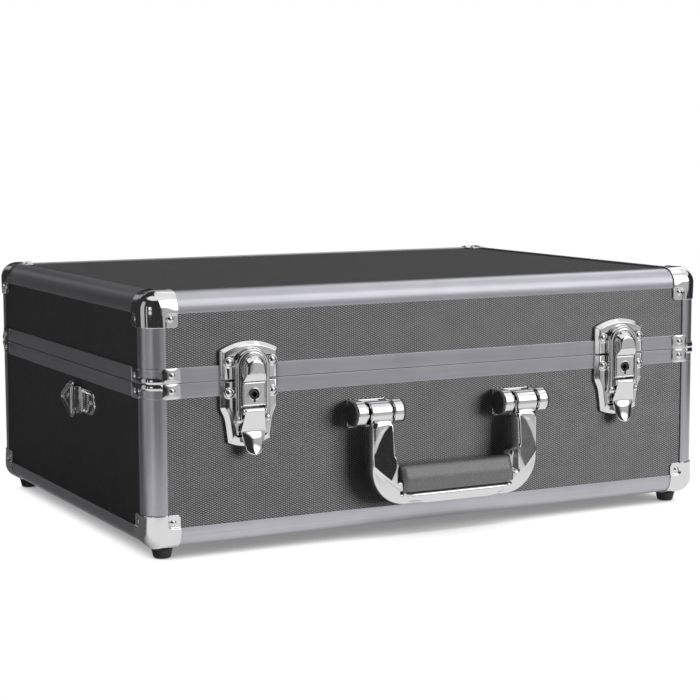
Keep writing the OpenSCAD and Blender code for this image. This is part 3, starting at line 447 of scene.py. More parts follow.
PANEL_FRONT = panel_material("laminate_upright_wide", (0, 2))
PANEL_SIDE = panel_material("laminate_upright_deep", (1, 2))
# Same laminate for the flat top and floor panels, its colours scaled to 0.72: painted shade, darker as if less light
# fell on the top.
PANEL_FLAT_SHADED = panel_material("laminate_flat_shaded", (0, 1), 0.12, 0.72)
ALUMINIUM = profile_material("satin_aluminium_level", (0.01, 0.01, 1.0))
ALUMINIUM_UPRIGHT = profile_material("satin_aluminium_upright", (1.0, 1.0, 0.01))
CHROME = chrome_material()
CAST = chrome_material("soft_chrome", 0.90, 0.20, 0.30, 0.00002)
# Dark metal for the keyway plug; the same dark finish also serves as painted shade for the keyhole's tail slot.
DARK_PLUG_AND_SLOT_SHADE = chrome_material("dark_plug_and_slot_shade", 0.10, 0.25, 0.4, 0.00003)
RUBBER = plastic_material("black_rubber", 0.006, 0.020, 0.62, 1800.0, 0.00008)
GRIP = plastic_material("moulded_grip", 0.070, 0.105, 0.30, 2200.0, 0.00002, 1.0)
CAPS = plastic_material("dark_caps", 0.030, 0.052, 0.5, 2500.0, 0.00003)
CLOTH = fabric_material()


# Shell of the case

for node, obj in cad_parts.items():
    if not node.endswith("_panel"):
        continue
    # Flat panels take the copy darkened with painted shade.
    if "floor" in node or "top" in node:
        finish = PANEL_FLAT_SHADED
    elif "left" in node or "right" in node:
        finish = PANEL_SIDE
    else:
        finish = PANEL_FRONT
    obj.data.materials.clear()
    obj.data.materials.append(finish)


def lip(u, v, du, dv, r=0.35):
    """Three points that round a flange's free edge, from its outer face at (u, v)."""
    return [(u - du * r, v - dv * r), (u - du * r * 0.3 + dv * r * 0.3, v - dv * r * 0.3 + du * r * 0.3)]


def edge_outline():
    """Section of the edge extrusion in corner coordinates, with the free edge of each flange rounded."""
    f, r = FLANGE, 0.35
    outer = arc(EDGE_R, EDGE_R, EDGE_R, 270, 180, 13)
    return ([(f - 1.6, 0), (f - 1.5, -0.0), (EDGE_R + 0.4, 0)] + outer
            + [(0, EDGE_R + 0.4), (0, f - r), (r * 0.3, f - r * 0.3), (r, f), (SKIN, f), (SKIN, EDGE_R),
               (SLOT_IN, EDGE_R), (SLOT_IN, f), (INNER - r, f), (INNER, f - r), (INNER, INNER), (f - r, INNER),
               (f, INNER - r), (f, SLOT_IN), (EDGE_R, SLOT_IN), (EDGE_R, SKIN), (f, SKIN), (f, r),
               (f - r * 0.3, r * 0.3), (f - r, 0)])


def extrude(outline, a, b):
    return loft([level(outline, a), level(outline, b)])


for lid in (False, True):
    half = "lid" if lid else "base"
    h = LID_H if lid else BASE_H
    section = edge_outline()
    posts, edges = Shape(), Shape()
    for to in corner_frames(lid):
        posts.add(extrude(section, FLANGE + 0.2, h - RAIL_TOP), to)
    for sy in (-1, 1):
        to = place((0, CASE_Y + sy * CASE_D / 2, TOP if lid else FLOOR), (0, -sy, 0), (0, 0, -1 if lid else 1),
                   (1, 0, 0))
        edges.add(extrude(section, -CASE_W / 2 + FLANGE + 0.2, CASE_W / 2 - FLANGE - 0.2), to)
    for sx in (-1, 1):
        to = place((sx * CASE_W / 2, CASE_Y, TOP if lid else FLOOR), (-sx, 0, 0), (0, 0, -1 if lid else 1),
                   (0, 1, 0))
        edges.add(extrude(section, -CASE_D / 2 + FLANGE + 0.2, CASE_D / 2 - FLANGE - 0.2), to)
    piece(half + "_post_extrusions", posts, half, ALUMINIUM_UPRIGHT, [half + "_corner_posts"])
    piece(half + "_edge_extrusions", edges, half, ALUMINIUM,
          ["lid_top_edges" if lid else "base_bottom_edges"])

    b, t = h - RAIL_TOP, h - GAP
    rail = [(0.35, b), (0.1, b + 0.1), (0, b + 0.35), (0, b + 1.4), (0.1, b + 1.7), (0, b + 2.0), (0, t - 2.9),
            (0.1, t - 2.6), (0, t - 2.3), (0, t - 0.4), (0.12, t - 0.12),
            (0.4, t)]
    if lid:
        rail += [(6.8, t), (6.8, t + 2.9), (7.05, t + 3.15), (7.75, t + 3.15), (8, t + 2.9), (8, t - 1.2),
                 (INNER, t - 1.2)]
    else:
        rail += [(INNER - 0.3, t), (INNER, t - 0.3)]
    rail += [(INNER, b), (SLOT_IN, b), (SLOT_IN, b + RAIL_SLOT), (SKIN, b + RAIL_SLOT), (SKIN, b)]
    loops = []
    for d, z in rail:
        plan = rect(-CASE_W / 2, CASE_W / 2, -CASE_D / 2, CASE_D / 2, 0)
        plan = inset(plan, d)
        plan = fillet(plan, max(EDGE_R - d, 1.5), 12)
        loops.append(level(plan, z))
    loops.append(loops[0])
    piece(half + "_rail_extrusions", Shape().add(loft(loops, False, False), half_frame(lid)), half,
          ALUMINIUM, [half + "_rails"])


# Ball corners and rail brackets

def ball_corner(recessed):
    """Pressed corner cap: a swollen ball, three arms, and a tab pressed down to each listed face."""
    radius = EDGE_R + CAP
    turn = [EDGE_R - radius * math.tan(math.pi / 4 * (1 - i / 10)) for i in range(11)]
    flat = [12.7, 13.4, 13.9, 14.3, 14.6, 14.9, 15.2, 15.5, 15.8, 16.2, 17, 18.4, 20, 21, 21.7, 22.4, 23, 23.5, 24]
    steps = turn + flat
    n = len(steps)
    outer, inner, faces = [], [], []
    for k in range(3):
        base = len(outer)
        for u in steps:
            for v in steps:
                a, b = max(u - 21, 0), max(v - 21, 0)
                s = max(a, b) / math.hypot(a, b) if a > 0 and b > 0 else 1
                uu = 21 + a * s if u > 21 else u
                vv = 21 + b * s if v > 21 else v
                step = 0.0
                if k in recessed and u > 13 and v > 13:
                    r = 3.2
                    du, dv = max(r - (u - 14.7), 0), max(r - (v - 14.7), 0)
                    inside = r - math.hypot(du, dv) if min(u, v) < 14.7 + r else min(u, v) - 14.7
                    q = max(0.0, min(1.0, (inside + 0.5) / 1.5))
                    step = q * q * (3 - 2 * q)
                crown = 0.18 * max(0, 1 - (max(v, 0) / 14 - 0.9) ** 2) if v < 14 and u > 12 else 0
                lean = 0.035 * max(0.0, max(v, u) - 14.5) if min(u, v) < 12 else 0.0
                depth = -CAP + (CAP + 0.1) * step
                p = np.empty(3)
                p[k] = depth
                p[(k + 1) % 3], p[(k + 2) % 3] = uu, vv
                core = np.maximum(p, EDGE_R)
                d = p - core
                d /= np.linalg.norm(d)
                swell = 0.3 * (3 * math.sqrt(3) * abs(d[0] * d[1] * d[2])) ** 0.8
                outer.append(core + d * (EDGE_R - depth + swell - lean))
                inner.append(core + d * (EDGE_R - depth - CAP + 0.05))
        faces += [(base + i * n + j, base + (i + 1) * n + j, base + (i + 1) * n + j + 1, base + i * n + j + 1)
                  for i in range(n - 1) for j in range(n - 1)]
    return shell(np.array(outer), np.array(inner), faces)


def rail_bracket():
    """Unrolled outline of the bracket wrapped round the upright edge; heights run down from the split."""
    radius, quarter = EDGE_R + CAP, (EDGE_R + CAP) * math.pi / 4
    end, high, neck, r1, r2 = quarter + 13, RAIL_TOP, GAP + 4.0, 1.4, 2.0
    start = quarter - 0.4
    columns = []
    for s in np.linspace(0, start - r1, 9):
        columns.append((s, GAP, neck))
    for a in np.linspace(0, 90, 6)[1:]:
        columns.append((start - r1 + r1 * math.sin(math.radians(a)), GAP, neck + r1 * (1 - math.cos(math.radians(a)))))
    for a in np.linspace(0, 90, 6):
        columns.append((start + 0.02 + r2 * (1 - math.cos(math.radians(a))), GAP,
                        high - r2 + r2 * math.sin(math.radians(a))))
    for s in np.linspace(start + r2, end - r2, 8)[1:]:
        columns.append((s, GAP, high))
    for a in np.linspace(0, 90, 6)[1:]:
        cut = r2 * (1 - math.cos(math.radians(a)))
        columns.append((end - r2 + r2 * math.sin(math.radians(a)), GAP + cut, high - cut))
    columns = [(-s, a, b) for s, a, b in reversed(columns[1:])] + columns
    outer, inner, rows = [], [], 9
    for s, top, bottom in columns:
        for q in range(rows):
            f = q / (rows - 1)
            z = top + (bottom - top) * f
            along = abs(2 * (abs(s) - start) / (end - start) - 1) if abs(s) > start else 0.0
            pillow = 0.5 * (1 - abs(2 * f - 1) ** 3) * (1 - along ** 3)
            if abs(s) <= quarter:
                a = math.radians(45) + s / radius
                out = np.array([-math.sin(a), -math.cos(a)])
                at = np.array([EDGE_R, EDGE_R]) + out * EDGE_R
            elif s > 0:
                out, at = np.array([-1.0, 0.0]), np.array([0.0, EDGE_R + s - quarter])
            else:
                out, at = np.array([0.0, -1.0]), np.array([EDGE_R - s - quarter, 0.0])
            outer.append([*(at + out * (CAP - 0.5 + pillow)), z])
            inner.append([*(at + out * 0.02), z])
    n = len(columns)
    faces = [(i * rows + j, (i + 1) * rows + j, (i + 1) * rows + j + 1, i * rows + j + 1)
             for i in range(n - 1) for j in range(rows - 1)]
    return shell(np.array(outer), np.array(inner), faces)


for lid in (False, True):
    half = "lid" if lid else "base"
    balls, brackets = Shape(), Shape()
    for to in corner_frames(lid):
        balls.add(ball_corner((0, 1, 2) if lid else (0, 1)), to)
        h = LID_H if lid else BASE_H
        brackets.add(rail_bracket(), lambda p, to=to, h=h: to(np.column_stack([p[:, :2], h - p[:, 2]])))
    piece(half + "_corner_caps", balls, half, CHROME, [half + "_ball_corners"], bevel=0.28)
    piece(half + "_corner_brackets", brackets, half, CHROME, [half + "_rail_brackets"], bevel=0.25)


# Rivets

def islands(node):
    """Bounds and points of each separate solid of a CAD node, in millimetres."""
    bm = bmesh.new()
    bm.from_mesh(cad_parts[node].data)
    bmesh.ops.remove_doubles(bm, verts=bm.verts, dist=1e-6)
    left = set(bm.verts)
    while left:
        todo, group = [left.pop()], []
        while todo:
            v = todo.pop()
            group.append(v.co[:])
            for e in v.link_edges:
                w = e.other_vert(v)
                if w in left:
                    left.discard(w)
                    todo.append(w)
        yield np.array(group) / MM
    bm.free()


def rivet_head(r, h):
    rim = [(r - 0.02, -0.05), (r, 0.12), (r - 0.1, 0.3), (r - 0.32, 0.42)]
    dome = [((r - 0.45) * math.cos(a), 0.42 + (h - 0.42) * math.sin(a)) for a in np.linspace(0.12, 1.5, 8)]
    return rim + dome + [(0, h)]


for node, half in (("base_rivets", "base"), ("lid_rivets", "lid")):
    shape = Shape()
    for points in islands(node):
        low, high = points.min(0), points.max(0)
        size = high - low
        order = np.argsort(np.abs(size[:, None] - size[None, :]).sum(1))
        k = int(order[-1])
        i, j = [a for a in range(3) if a != k]
        mid = (low + high) / 2
        reach = np.hypot(points[:, i] - mid[i], points[:, j] - mid[j])
        seat = points[reach > reach.max() * 0.97][:, k].mean()
        sign = 1 if high[k] - seat < seat - low[k] else -1
        out = np.zeros(3)
        out[k] = sign
        u = np.zeros(3)
        u[i] = 1
        mid[k] = seat
        height = high[k] - seat if sign > 0 else seat - low[k]
        to = place(mid, u, np.cross(out, u), out)
        shape.add(lathe(rivet_head(reach.max(), height), 36), to)
        tail = (seat - low[k]) if sign > 0 else (high[k] - seat)
        shape.add(lathe([(0, -tail), (1.2, -tail), (1.2, 0)], 20), to)
    piece(half + "_domed_rivets", shape, half, CHROME, [node])


# Feet

feet, screws = Shape(), Shape()
for sx in (-1, 1):
    for sy in (-1, 1):
        to = place((sx * (CASE_W / 2 - 16.4), CASE_Y + sy * (CASE_D / 2 - 16.4), 0), (1, 0, 0), (0, 1, 0), (0, 0, 1))
        feet.add(lathe([(3.3, 3.0), (3.3, 0.4), (3.6, 0.05), (4.9, 0), (5.5, 0.12), (5.95, 0.5), (6.2, 1.1),
                        (6.7, 3.2), (7.15, 5.3), (7.3, 5.8), (7.6, 6.0), (7.6, 6.6), (7.4, 6.79), (1.35, 6.79),
                        (1.35, 3.0)], 48), to)
        screws.add(lathe([(0, 1.5), (1.4, 1.45), (2.5, 1.6), (2.9, 2.0), (3.0, 2.6), (3.0, 3.0), (1.3, 3.02),
                          (1.3, 12.0), (0, 12.4)], 36), to)
        for turn in (0, 1):
            bar = rect(-1.5, 1.5, -0.3, 0.3) if turn == 0 else rect(-0.3, 0.3, -1.5, 1.5)
            screws.add(slab(bar, 1.2, 1.5, 0.05), to)
piece("rubber_feet", feet, "base", RUBBER, ["feet"])
piece("foot_pan_screws", screws, "base", CHROME, ["foot_screws"])


# Hinges

for node, half, up, knuckles in (("hinge_base_leaves", "base", -1, (-1, 1)), ("hinge_lid_leaves", "lid", 1, (0,))):
    shape = Shape()
    width = (56 - 0.8) / 3
    for side in (-1, 1):
        x = side * HINGE_X
        leaf = rect(-28, 28, 3.9, RAIL_TOP, 1.6)
        leaf = leaf if up > 0 else np.array([(a, -b) for a, b in leaf])[::-1]
        shape.add(slab(leaf, 0, 1.4, 0.35), on_back(x, PART))
        for k in knuckles:
            at = k * (width + 0.4)
            to = across_back(x + at, PART)
            roll = arc(4.2, 0, 3.5, 90, 90 + 270, 28)
            sheet = [(0.02, up * 4.1), (0.02, up * 0.4), (1.2, up * 0.4)]
            shape.add(slab(arc(4.2, 0, 3.5, 0, 352, 34), -width / 2, width / 2, 0.3, 0.3), to)
            tongue = [(0.02, up * 0.3), (4.2, up * 0.3), (4.0, up * 3.45), (1.4, up * 3.9), (1.4, up * 4.3),
                      (0.02, up * 4.3)]
            tongue = tongue if up > 0 else tongue[::-1]
            shape.add(slab(tongue, -width / 2, width / 2, 0.12, 0.12), to)
    piece(node + "_pressed", shape, half, CHROME, [node])

pins = Shape()
for side in (-1, 1):
    pins.add(lathe([(0, -28), (1.1, -27.95), (1.5, -27.7), (1.6, -27.2), (1.6, 27.2), (1.5, 27.7), (1.1, 27.95),
                    (0, 28)], 28), place((side * HINGE_X, BACK + 4.2, PART), (0, 1, 0), (0, 0, 1), (1, 0, 0)))
piece("hinge_pin_rods", pins, "base", CAST, ["hinge_pins"])


# Latches

RIM = [(0, 0), (0, 0.8), (0.08, 1.05), (0.3, 1.3), (0.7, 1.6), (2.0, 2.7), (2.5, 3.15), (2.8, 3.35), (3.1, 3.42),
       (3.5, 3.46), (5.2, 3.7), (6.4, 3.84)]


def keyhole(r, slot, depth, n=48):
    out = []
    for a in np.linspace(0, 2 * math.pi, n, endpoint=False):
        d = (a - 1.5 * math.pi + math.pi) % (2 * math.pi) - math.pi
        reach = r
        if abs(d) < math.asin(min(1, slot / r)) + 0.12:
            reach = min(depth / math.cos(d), slot / max(abs(math.sin(d)), 1e-3)) if abs(d) > 0.01 else depth
            reach = max(reach, r)
        out.append((reach * math.cos(a), reach * math.sin(a)))
    return out


def square_loop(w, z1, z2, n=48):
    """Rectangle sampled from the centre of its keyhole, so that it can be joined to a circle."""
    zc = (z1 + z2) / 2
    hh = (z2 - z1) / 2
    angles = np.linspace(0, 2 * math.pi, n, endpoint=False)
    corner = [math.atan2(hh * b, w * a) % (2 * math.pi) for a in (-1, 1) for b in (-1, 1)]
    for c in corner:
        angles[np.argmin(np.abs(angles - c))] = c
    out = []
    for a in angles:
        s = min(w / max(abs(math.cos(a)), 1e-9), hh / max(abs(math.sin(a)), 1e-9))
        out.append((s * math.cos(a), zc + s * math.sin(a)))
    return np.array(out), angles


def lock_case(to, shape):
    z1, z2, w = -17.7, -1.1, 8.6
    zc = (z1 + z2) / 2
    loops = []
    for d, h in ((0, 4), (0, 9.0), (0.12, 9.45), (0.4, 9.75), (0.8, 9.85), (1.0, 9.7), (1.2, 9.7)):
        points, angles = square_loop(w - d, z1 + d, z2 - d)
        loops.append(level(points, h))
    circle = np.column_stack([np.cos(angles), np.sin(angles)])
    for r, h in ((4.5, 9.72), (4.15, 9.95), (3.95, 9.98), (3.7, 9.8), (3.5, 9.4), (3.5, 5.4)):
        loops.append(level(circle * r + (0, zc), h))
    shape.add(loft(loops), to)


def hasp_arm_loops():
    """Stations of the hasp: up one arm, over the arch and down the other."""
    section = [(0, 0.15), (0, 3.1), (0.18, 3.55), (0.55, 3.85), (0.95, 3.9), (1.3, 3.72), (1.6, 3.58), (2.3, 3.56),
               (2.7, 3.6), (3.05, 3.5), (3.5, 3.1), (3.8, 2.6), (4, 1.9), (4, 0.15), (3.85, 0), (0.15, 0)]
    spread = [(-27.4 - 2.15, 0.3), (-27.4 - 1.9, 1.1), (-27.4 - 1.3, 1.75), (-27.4 - 0.5, 2.1), (-27.0, 2.2),
              (-25.5, 2.1), (-24.0, None)]
    stations = []
    for z, half in spread:
        stations.append(((-8.9, z), (-1, 0), half))
    for z in np.linspace(-20, 9, 8):
        stations.append(((-8.9, z), (-1, 0), None))
    for a in np.linspace(180, 0, 41)[1:-1]:
        c, s = math.cos(math.radians(a)), math.sin(math.radians(a))
        stations.append(((8.9 * c, 9 + 8.9 * s), (c, s), None))
    right = [((-x, z), (-dx, dz), half) for (x, z), (dx, dz), half in reversed(stations[:len(spread) + 8])]
    loops = []
    for (x, z), (dx, dz), half in stations + right:
        loop = []
        for q, o in section:
            out = 4.4 + o
            if half is not None:
                out = 6.9 + (o - 1.95) / 1.95 * half
            loop.append((x + dx * q, z + dz * q, out))
        loops.append(np.array(loop))
    return loops


def arch_loop(wb, wt, zb, zs, zt):
    right = [(wb + (wt - wb) * f, zb + (zs - zb) * f) for f in np.linspace(0, 1, 7)]
    top = [(wt * math.cos(a), zs + (zt - zs) * math.sin(a)) for a in np.linspace(0, math.pi, 27)[1:-1]]
    left = [(-x, z) for x, z in reversed(right)]
    bottom = [(wb * f, zb) for f in np.linspace(-1, 1, 9)[1:-1]]
    return np.array(right + top + left + bottom)


NOSE = [(6.0, 8.9, 8.9, -0.6, 9, 17.9), (7.9, 8.9, 8.9, -0.6, 9, 17.9), (8.5, 8.75, 8.7, -0.6, 9, 17.7),
        (9.0, 8.5, 8.35, -0.6, 9, 17.35), (9.9, 8.5, 8.0, -0.6, 9, 16.9), (10.25, 8.5, 7.85, -0.55, 9, 16.65),
        (10.4, 8.45, 7.75, -0.35, 9, 16.5), (10.6, 8.3, 7.65, -0.05, 9, 16.3), (11.6, 7.8, 7.3, 1.45, 9, 15.5),
        (12.5, 7.3, 6.9, 2.8, 9, 14.5), (12.95, 7.05, 6.6, 3.5, 9, 13.8), (13.2, 6.8, 6.2, 3.95, 8.9, 13.1),
        (13.32, 6.4, 5.7, 4.3, 8.8, 12.3), (13.4, 5.2, 4.5, 4.9, 8.7, 11.3), (13.46, 3.6, 3.0, 5.9, 8.6, 10.3),
        (13.5, 1.6, 1.4, 7.2, 8.5, 9.4)]


def lever_loops():
    """Stations along the lever, from behind its rolled top to the tip of the tongue."""
    path = [(8.8 + 2.4 * math.cos(math.radians(a)), -21.4 + 2.4 * math.sin(math.radians(a)))
            for a in np.linspace(200, 0, 15)]
    half = [7.5] * len(path)
    crown = [0.0] * len(path)
    for f in np.linspace(0, 1, 12)[1:]:
        path.append((11.2 - 3.5 * f, -21.4 - 13.5 * f))
        half.append(7.4 + 1.9 * f ** 1.6)
        crown.append(0.12 * math.sin(math.pi * f))
    for f in np.linspace(0, 1, 22)[1:]:
        z = -34.9 - 16.85 * f
        path.append((7.7 + 3.0 * f ** 2.0, z))
        tip = 16.85 * (1 - f)
        w = 9.2 - 4.2 * f ** 1.1
        if tip < 4.6:
            w *= math.sqrt(max(0.0, 1 - (1 - tip / 4.6) ** 2.2))
        half.append(max(w, 0.25))
        crown.append(1.35 * min(1, f * 3.2) * (1 - 0.35 * f))
    path, n = np.array(path), len(path)
    d = np.gradient(path, axis=0)
    d /= np.linalg.norm(d, axis=1)[:, None]
    normal = np.column_stack([-d[:, 1], d[:, 0]])
    loops = []
    across = [math.sin(math.radians(a)) for a in np.linspace(-90, 90, 17)]
    for i in range(n):
        rise = crown[i]
        front, back = [], []
        for t in across:
            edge = 0.25 * max(0, abs(t) - 0.93) / 0.07
            lift = rise * (1 - t * t) - edge
            x = half[i] * t
            thick = 1.2 if abs(t) < 0.999 else 0.75
            front.append((x, path[i, 1] + normal[i, 1] * lift, path[i, 0] + normal[i, 0] * lift))
            back.append((x, path[i, 1] + normal[i, 1] * (lift - thick), path[i, 0] + normal[i, 0] * (lift - thick)))
        loops.append(np.array(front + back[::-1]))
    return loops


for side, name in ((-1, "left"), (1, "right")):
    x = side * LATCH_X
    face, edge = on_front(x, PART), across_front(x, PART)
    key = name + "_latch_"

    top = arc(0, -16.4, 43, 59.2, 120.8, 25)
    outline = [(-22, 0.6), (22, 0.6)] + top
    weights = [0.12] + [1] * (len(outline) - 1)
    radii = [0, 0, 1.6] + [0] * 23 + [1.6]
    plate = Shape().add(pressed(outline, RIM, weights, radii), face)
    boss = [(4.1, 3.2), (4.05, 4.1), (3.8, 4.42), (3.4, 4.5), (3.1, 4.4), (2.9, 4.1), (2.9, 3.2)]
    for s in (-1, 1):
        plate.add(lathe(boss, 36), on_front(x + s * 16.4, PART + 12.35))
    plate.add(slab([p for p in [(-21.7, RAIL_TOP + 0.1), (21.7, RAIL_TOP + 0.1), (21.7, 20.2)]] + arc(0, -16.4, 42.7, 58.5, 121.5, 19)
                   + [(-21.7, 20.2)], -1.28, 0.3, 0.05), face)
    plate.add(pressed(fillet([(-12.4, 1.0), (12.4, 1.0)] + arc(0, 9, 13.6, 12, 168, 25), [1] + [1] + [0] * 25, 2),
                      [(0, 3.9), (0.1, 4.1), (0.35, 4.28), (0.7, 4.3), (1.1, 4.1), (1.4, 4.02)]), face)
    piece(key + "lid_plate_pressing", plate, "lid", CHROME, [key + "lid_plate"])

    halves = [(22, -0.6), (22, -18.4), (21.7, -20.0), (20.8, -22.0), (19.7, -24.2), (18.85, -26.4), (18.25, -28.8),
              (17.85, -31.4), (17.0, -37.5), (16.3, -43.2)]
    bottom = arc(0, -6.0, 40.8, 270 + 22.6, 270 - 22.6, 17)
    outline = halves + bottom + [(-a, b) for a, b in reversed(halves)]
    outline = np.array(outline)[::-1]
    weights = np.ones(len(outline))
    weights[-1] = 0.12
    plate = Shape().add(pressed(outline, RIM, weights), face)
    low = [p for p in outline if p[1] < -RAIL_TOP - 0.1]
    low = [(low[0][0], -RAIL_TOP - 0.1)] + low + [(low[-1][0], -RAIL_TOP - 0.1)]
    plate.add(slab(inset(low, 0.3), -1.28, 0.3, 0.05), face)
    for s in (-1, 1):
        wing = [(s * a, b) for a, b in ((12.4, -18.0), (9.6, -18.0), (9.6, -30.0), (11.0, -32.5), (11.8, -30.0))]
        wing = fillet(wing if s < 0 else wing[::-1], 0.8, 3)
        plate.add(slab(wing, 3.9, 5.0, 0.5), face)
        at = s * (7.5 + 0.3 + 0.425)
        ear = [(4.0, -25.5), (6.2, -24.6)] + arc(8.8, -21.4, 2.25, -100, 80, 14) + [(6.2, -18.6), (4.0, -18.0)]
        plate.add(slab(ear, at - 0.425, at + 0.425, 0.15, 0.15), edge)
    for s in (-1, 1):
        plate.add(lathe(boss, 36), on_front(x + s * 16.4, PART - 8.65))
    piece(key + "base_plate_pressing", plate, "base", CHROME, [key + "base_plate"])

    lock = Shape()
    lock_case(face, lock)
    piece(key + "lock_housing", lock, "base", CAST, [key + "lock_case"])

    # A thin dark plate laid proud on the lock face below the plug: painted shade standing in for the tail of the
    # keyhole slot, which is not cut.
    tail = Shape().add(slab(rect(-0.85, 0.85, -15.1, -12.8, 0.7), 9.5, 10.04, 0.08), face)
    piece(key + "keyhole_tail_painted_shade", tail, "base", DARK_PLUG_AND_SLOT_SHADE, [])
    plug = Shape()
    zc = -9.4
    ring = [(3.35 * math.cos(a), 3.35 * math.sin(a)) for a in np.linspace(0, 2 * math.pi, 48, endpoint=False)]
    hole = np.array(keyhole(1.75, 0.62, 2.85))
    loops = [level(ring, 5.2), level(ring, 8.9), level(np.array(ring) * 0.95, 9.1), level(hole * 1.12, 9.1),
             level(hole, 8.95), level(hole, 6.2)]
    plug.add(loft(loops), lambda p: face(p + np.array([0, zc, 0])))
    piece(key + "keyway_plug", plug, name + "_key", DARK_PLUG_AND_SLOT_SHADE, [key + "key_plug"])

    hasp = Shape().add(loft(hasp_arm_loops()), face)
    hasp.add(loft([level(arch_loop(*row[1:]), row[0]) for row in NOSE]), face)
    piece(key + "hasp_arch", hasp, name + "_hasp", CHROME, [key + "hasp"])

    lever = Shape().add(loft(lever_loops()), face)
    for s in (-1, 1):
        cheek = fillet([(10.9, -21.4), (7.6, -34.6), (4.9, -35.2), (4.75, -27.6), (6.4, -21.0)], [0.6, 0.5, 1, 2, 1])
        cheek = cheek[::-1]
        a = s * 6.9
        lever.add(slab(cheek, a - 0.5, a + 0.5, 0.1, 0.1), edge)
    piece(key + "lever_pressing", lever, name + "_lever", CHROME, [key + "lever"])

    for pin, z, o, half, body in (("lever_pin", -21.4, 8.8, 8.65, "base"), ("hasp_pin", -27.4, 6.9, 12.9, name + "_lever")):
        rod = lathe([(0, -half), (0.8, -half + 0.02), (1.1, -half + 0.2), (1.2, -half + 0.5), (1.2, half - 0.5),
                     (1.1, half - 0.2), (0.8, half - 0.02), (0, half)], 24)
        piece(key + pin + "_rod", Shape().add(rod, place((x, FRONT - o, PART + z), (0, -1, 0), (0, 0, 1), (1, 0, 0))),
              body, CHROME, [key + pin])


# Carrying handle

def smooth(f):
    f = max(0.0, min(1.0, f))
    return f * f * (3 - 2 * f)


def frame_stations():
    """Outer and inner edge of the handle frame from the left barrel to the middle of the bar."""
    pairs = []
    for z in np.linspace(2, -38, 64):
        pairs.append(((-68.5, z), (-51.0 + 5.4 * smooth((-z - 29) / 9), z)))
    flare = fillet([(-45.6, -38), (-45.6, -58), (-40, -58)], [0, 1.0, 0], 6)
    flare = [tuple(p) for p in flare]
    cut = np.cumsum([0] + [math.dist(flare[i], flare[i + 1]) for i in range(len(flare) - 1)])
    bend = 27 * math.pi / 2
    n = 46
    for i in range(1, n + 1):
        f = i / n
        s = f * (bend + 2.5)
        if s < 1:
            o = (-68.5, -38 - s)
        elif s < 1 + bend:
            a = (s - 1) / 27
            o = (-41.5 - 27 * math.cos(a), -39 - 27 * math.sin(a))
        else:
            o = (-41.5 + s - 1 - bend, -66)
        g = f ** 0.9 * cut[-1]
        j = min(np.searchsorted(cut, g, side="right") - 1, len(flare) - 2)
        w = (g - cut[j]) / (cut[j + 1] - cut[j])
        p = np.array(flare[j]) * (1 - w) + np.array(flare[j + 1]) * w
        pairs.append((o, tuple(p)))
    for x in np.linspace(-36, 0, 10):
        pairs.append(((x, -66), (x, -58)))
    return pairs


def arm_rise(x, z):
    """How far an arm's front stands out: dome under the barrel, slanted facet below, hollow beside the grip."""
    t = 68.5 - abs(x)
    fall = np.interp(z, [-60, -32, -27.8, -20.7, -13, -8.2, -6.4, -3], [2.9, 0.14, -0.2, -0.76, -1.6, -2.54, -3.3, -12])
    slope = 0.2 * (t - 1) + fall
    facet = min(4.0, max(0.0, slope))
    low = -37 - 16 * (max(t, 0) / 17) ** 0.8
    facet *= max(0.0, min(1.0, (z - low) / 1.6))
    across = abs(t - 9.2) / 9.2
    under = z + 3.5 * across ** 3
    dome = 0.5 * min(1.0, max(0.0, -slope / 0.7)) * max(0.0, 1 - across ** 2) * smooth((-6 - z) / 5)
    dip = 1.0 * smooth((under + 8) / 3.5)
    hollow = 5.5 * smooth((t - 17.3) / 3.0) * smooth((z + 50) / 3) * smooth((-26 - z) / 6)
    return facet + dome - max(dip, hollow)


def frame_loops():
    pairs = frame_stations()
    pairs = pairs + [((-a[0], a[1]), (-b[0], b[1])) for a, b in reversed(pairs[:-1])]
    loops = []
    for outer, inner in pairs:
        outer, inner = np.array(outer), np.array(inner)
        width = float(np.linalg.norm(inner - outer))
        r_out, r_in = min(1.8, width * 0.3), min(2.4, width * 0.25)
        front, back = [], []
        x_out, x_in = abs(outer[0]), abs(inner[0])
        wall = [min(0.85, max(0.3, (x_out - 51.4) / max(x_out - x_in, 0.1))), 0.0]
        wall[1] = min(0.95, max(wall[0] + 0.05, (x_out - 48.2) / max(x_out - x_in, 0.1)))
        spread = np.concatenate([np.linspace(0, wall[0], 28), np.linspace(wall[0], wall[1], 9)[1:],
                                 np.linspace(wall[1], 1, 9)[1:]])
        for t in spread:
            p = outer + (inner - outer) * t
            near, far = t * width, (1 - t) * width
            drop = 0.0
            if near < r_out:
                drop = r_out - math.sqrt(max(0, r_out ** 2 - (r_out - near) ** 2))
            elif far < r_in:
                drop = r_in - math.sqrt(max(0, r_in ** 2 - (r_in - far) ** 2))
            front.append((p[0], p[1], 20.3 + arm_rise(p[0], p[1]) - drop))
            back.append((p[0], p[1], 8.3 + drop))
        loops.append(np.array(front + back[::-1]))
    return loops


handle = Shape()
plain = on_front(0, HANDLE_Z)
handle.add(loft(frame_loops()), plain)
handle.add(slab(rect(-45.4, 45.4, -58.4, -46.0, 0.5), 11.8, 16.8, 0.4), plain)
for s in (-1, 1):
    for out in (10.3, 11.9):
        barrel = [(0, -8), (7.7, -8), (8.2, -7.85), (8.4, -7.4), (8.4, 7.4), (8.2, 7.85), (7.7, 8), (0, 8)]
        handle.add(lathe(barrel, 64), place((s * HANDLE_X, FRONT - out, HANDLE_Z), (0, -1, 0), (0, 0, 1), (1, 0, 0)))
    collar = [(0, -10.65), (5.9, -10.65), (6.4, -10.5), (6.6, -10.1), (6.6, 10.1), (6.4, 10.5), (5.9, 10.65), (0, 10.65)]
    handle.add(lathe(collar, 56), place((s * HANDLE_X, FRONT - 10.3, HANDLE_Z), (0, -1, 0), (0, 0, 1), (1, 0, 0)))
piece("handle_frame_casting", handle, "handle", CHROME, ["handle_frame"], sharp=50)

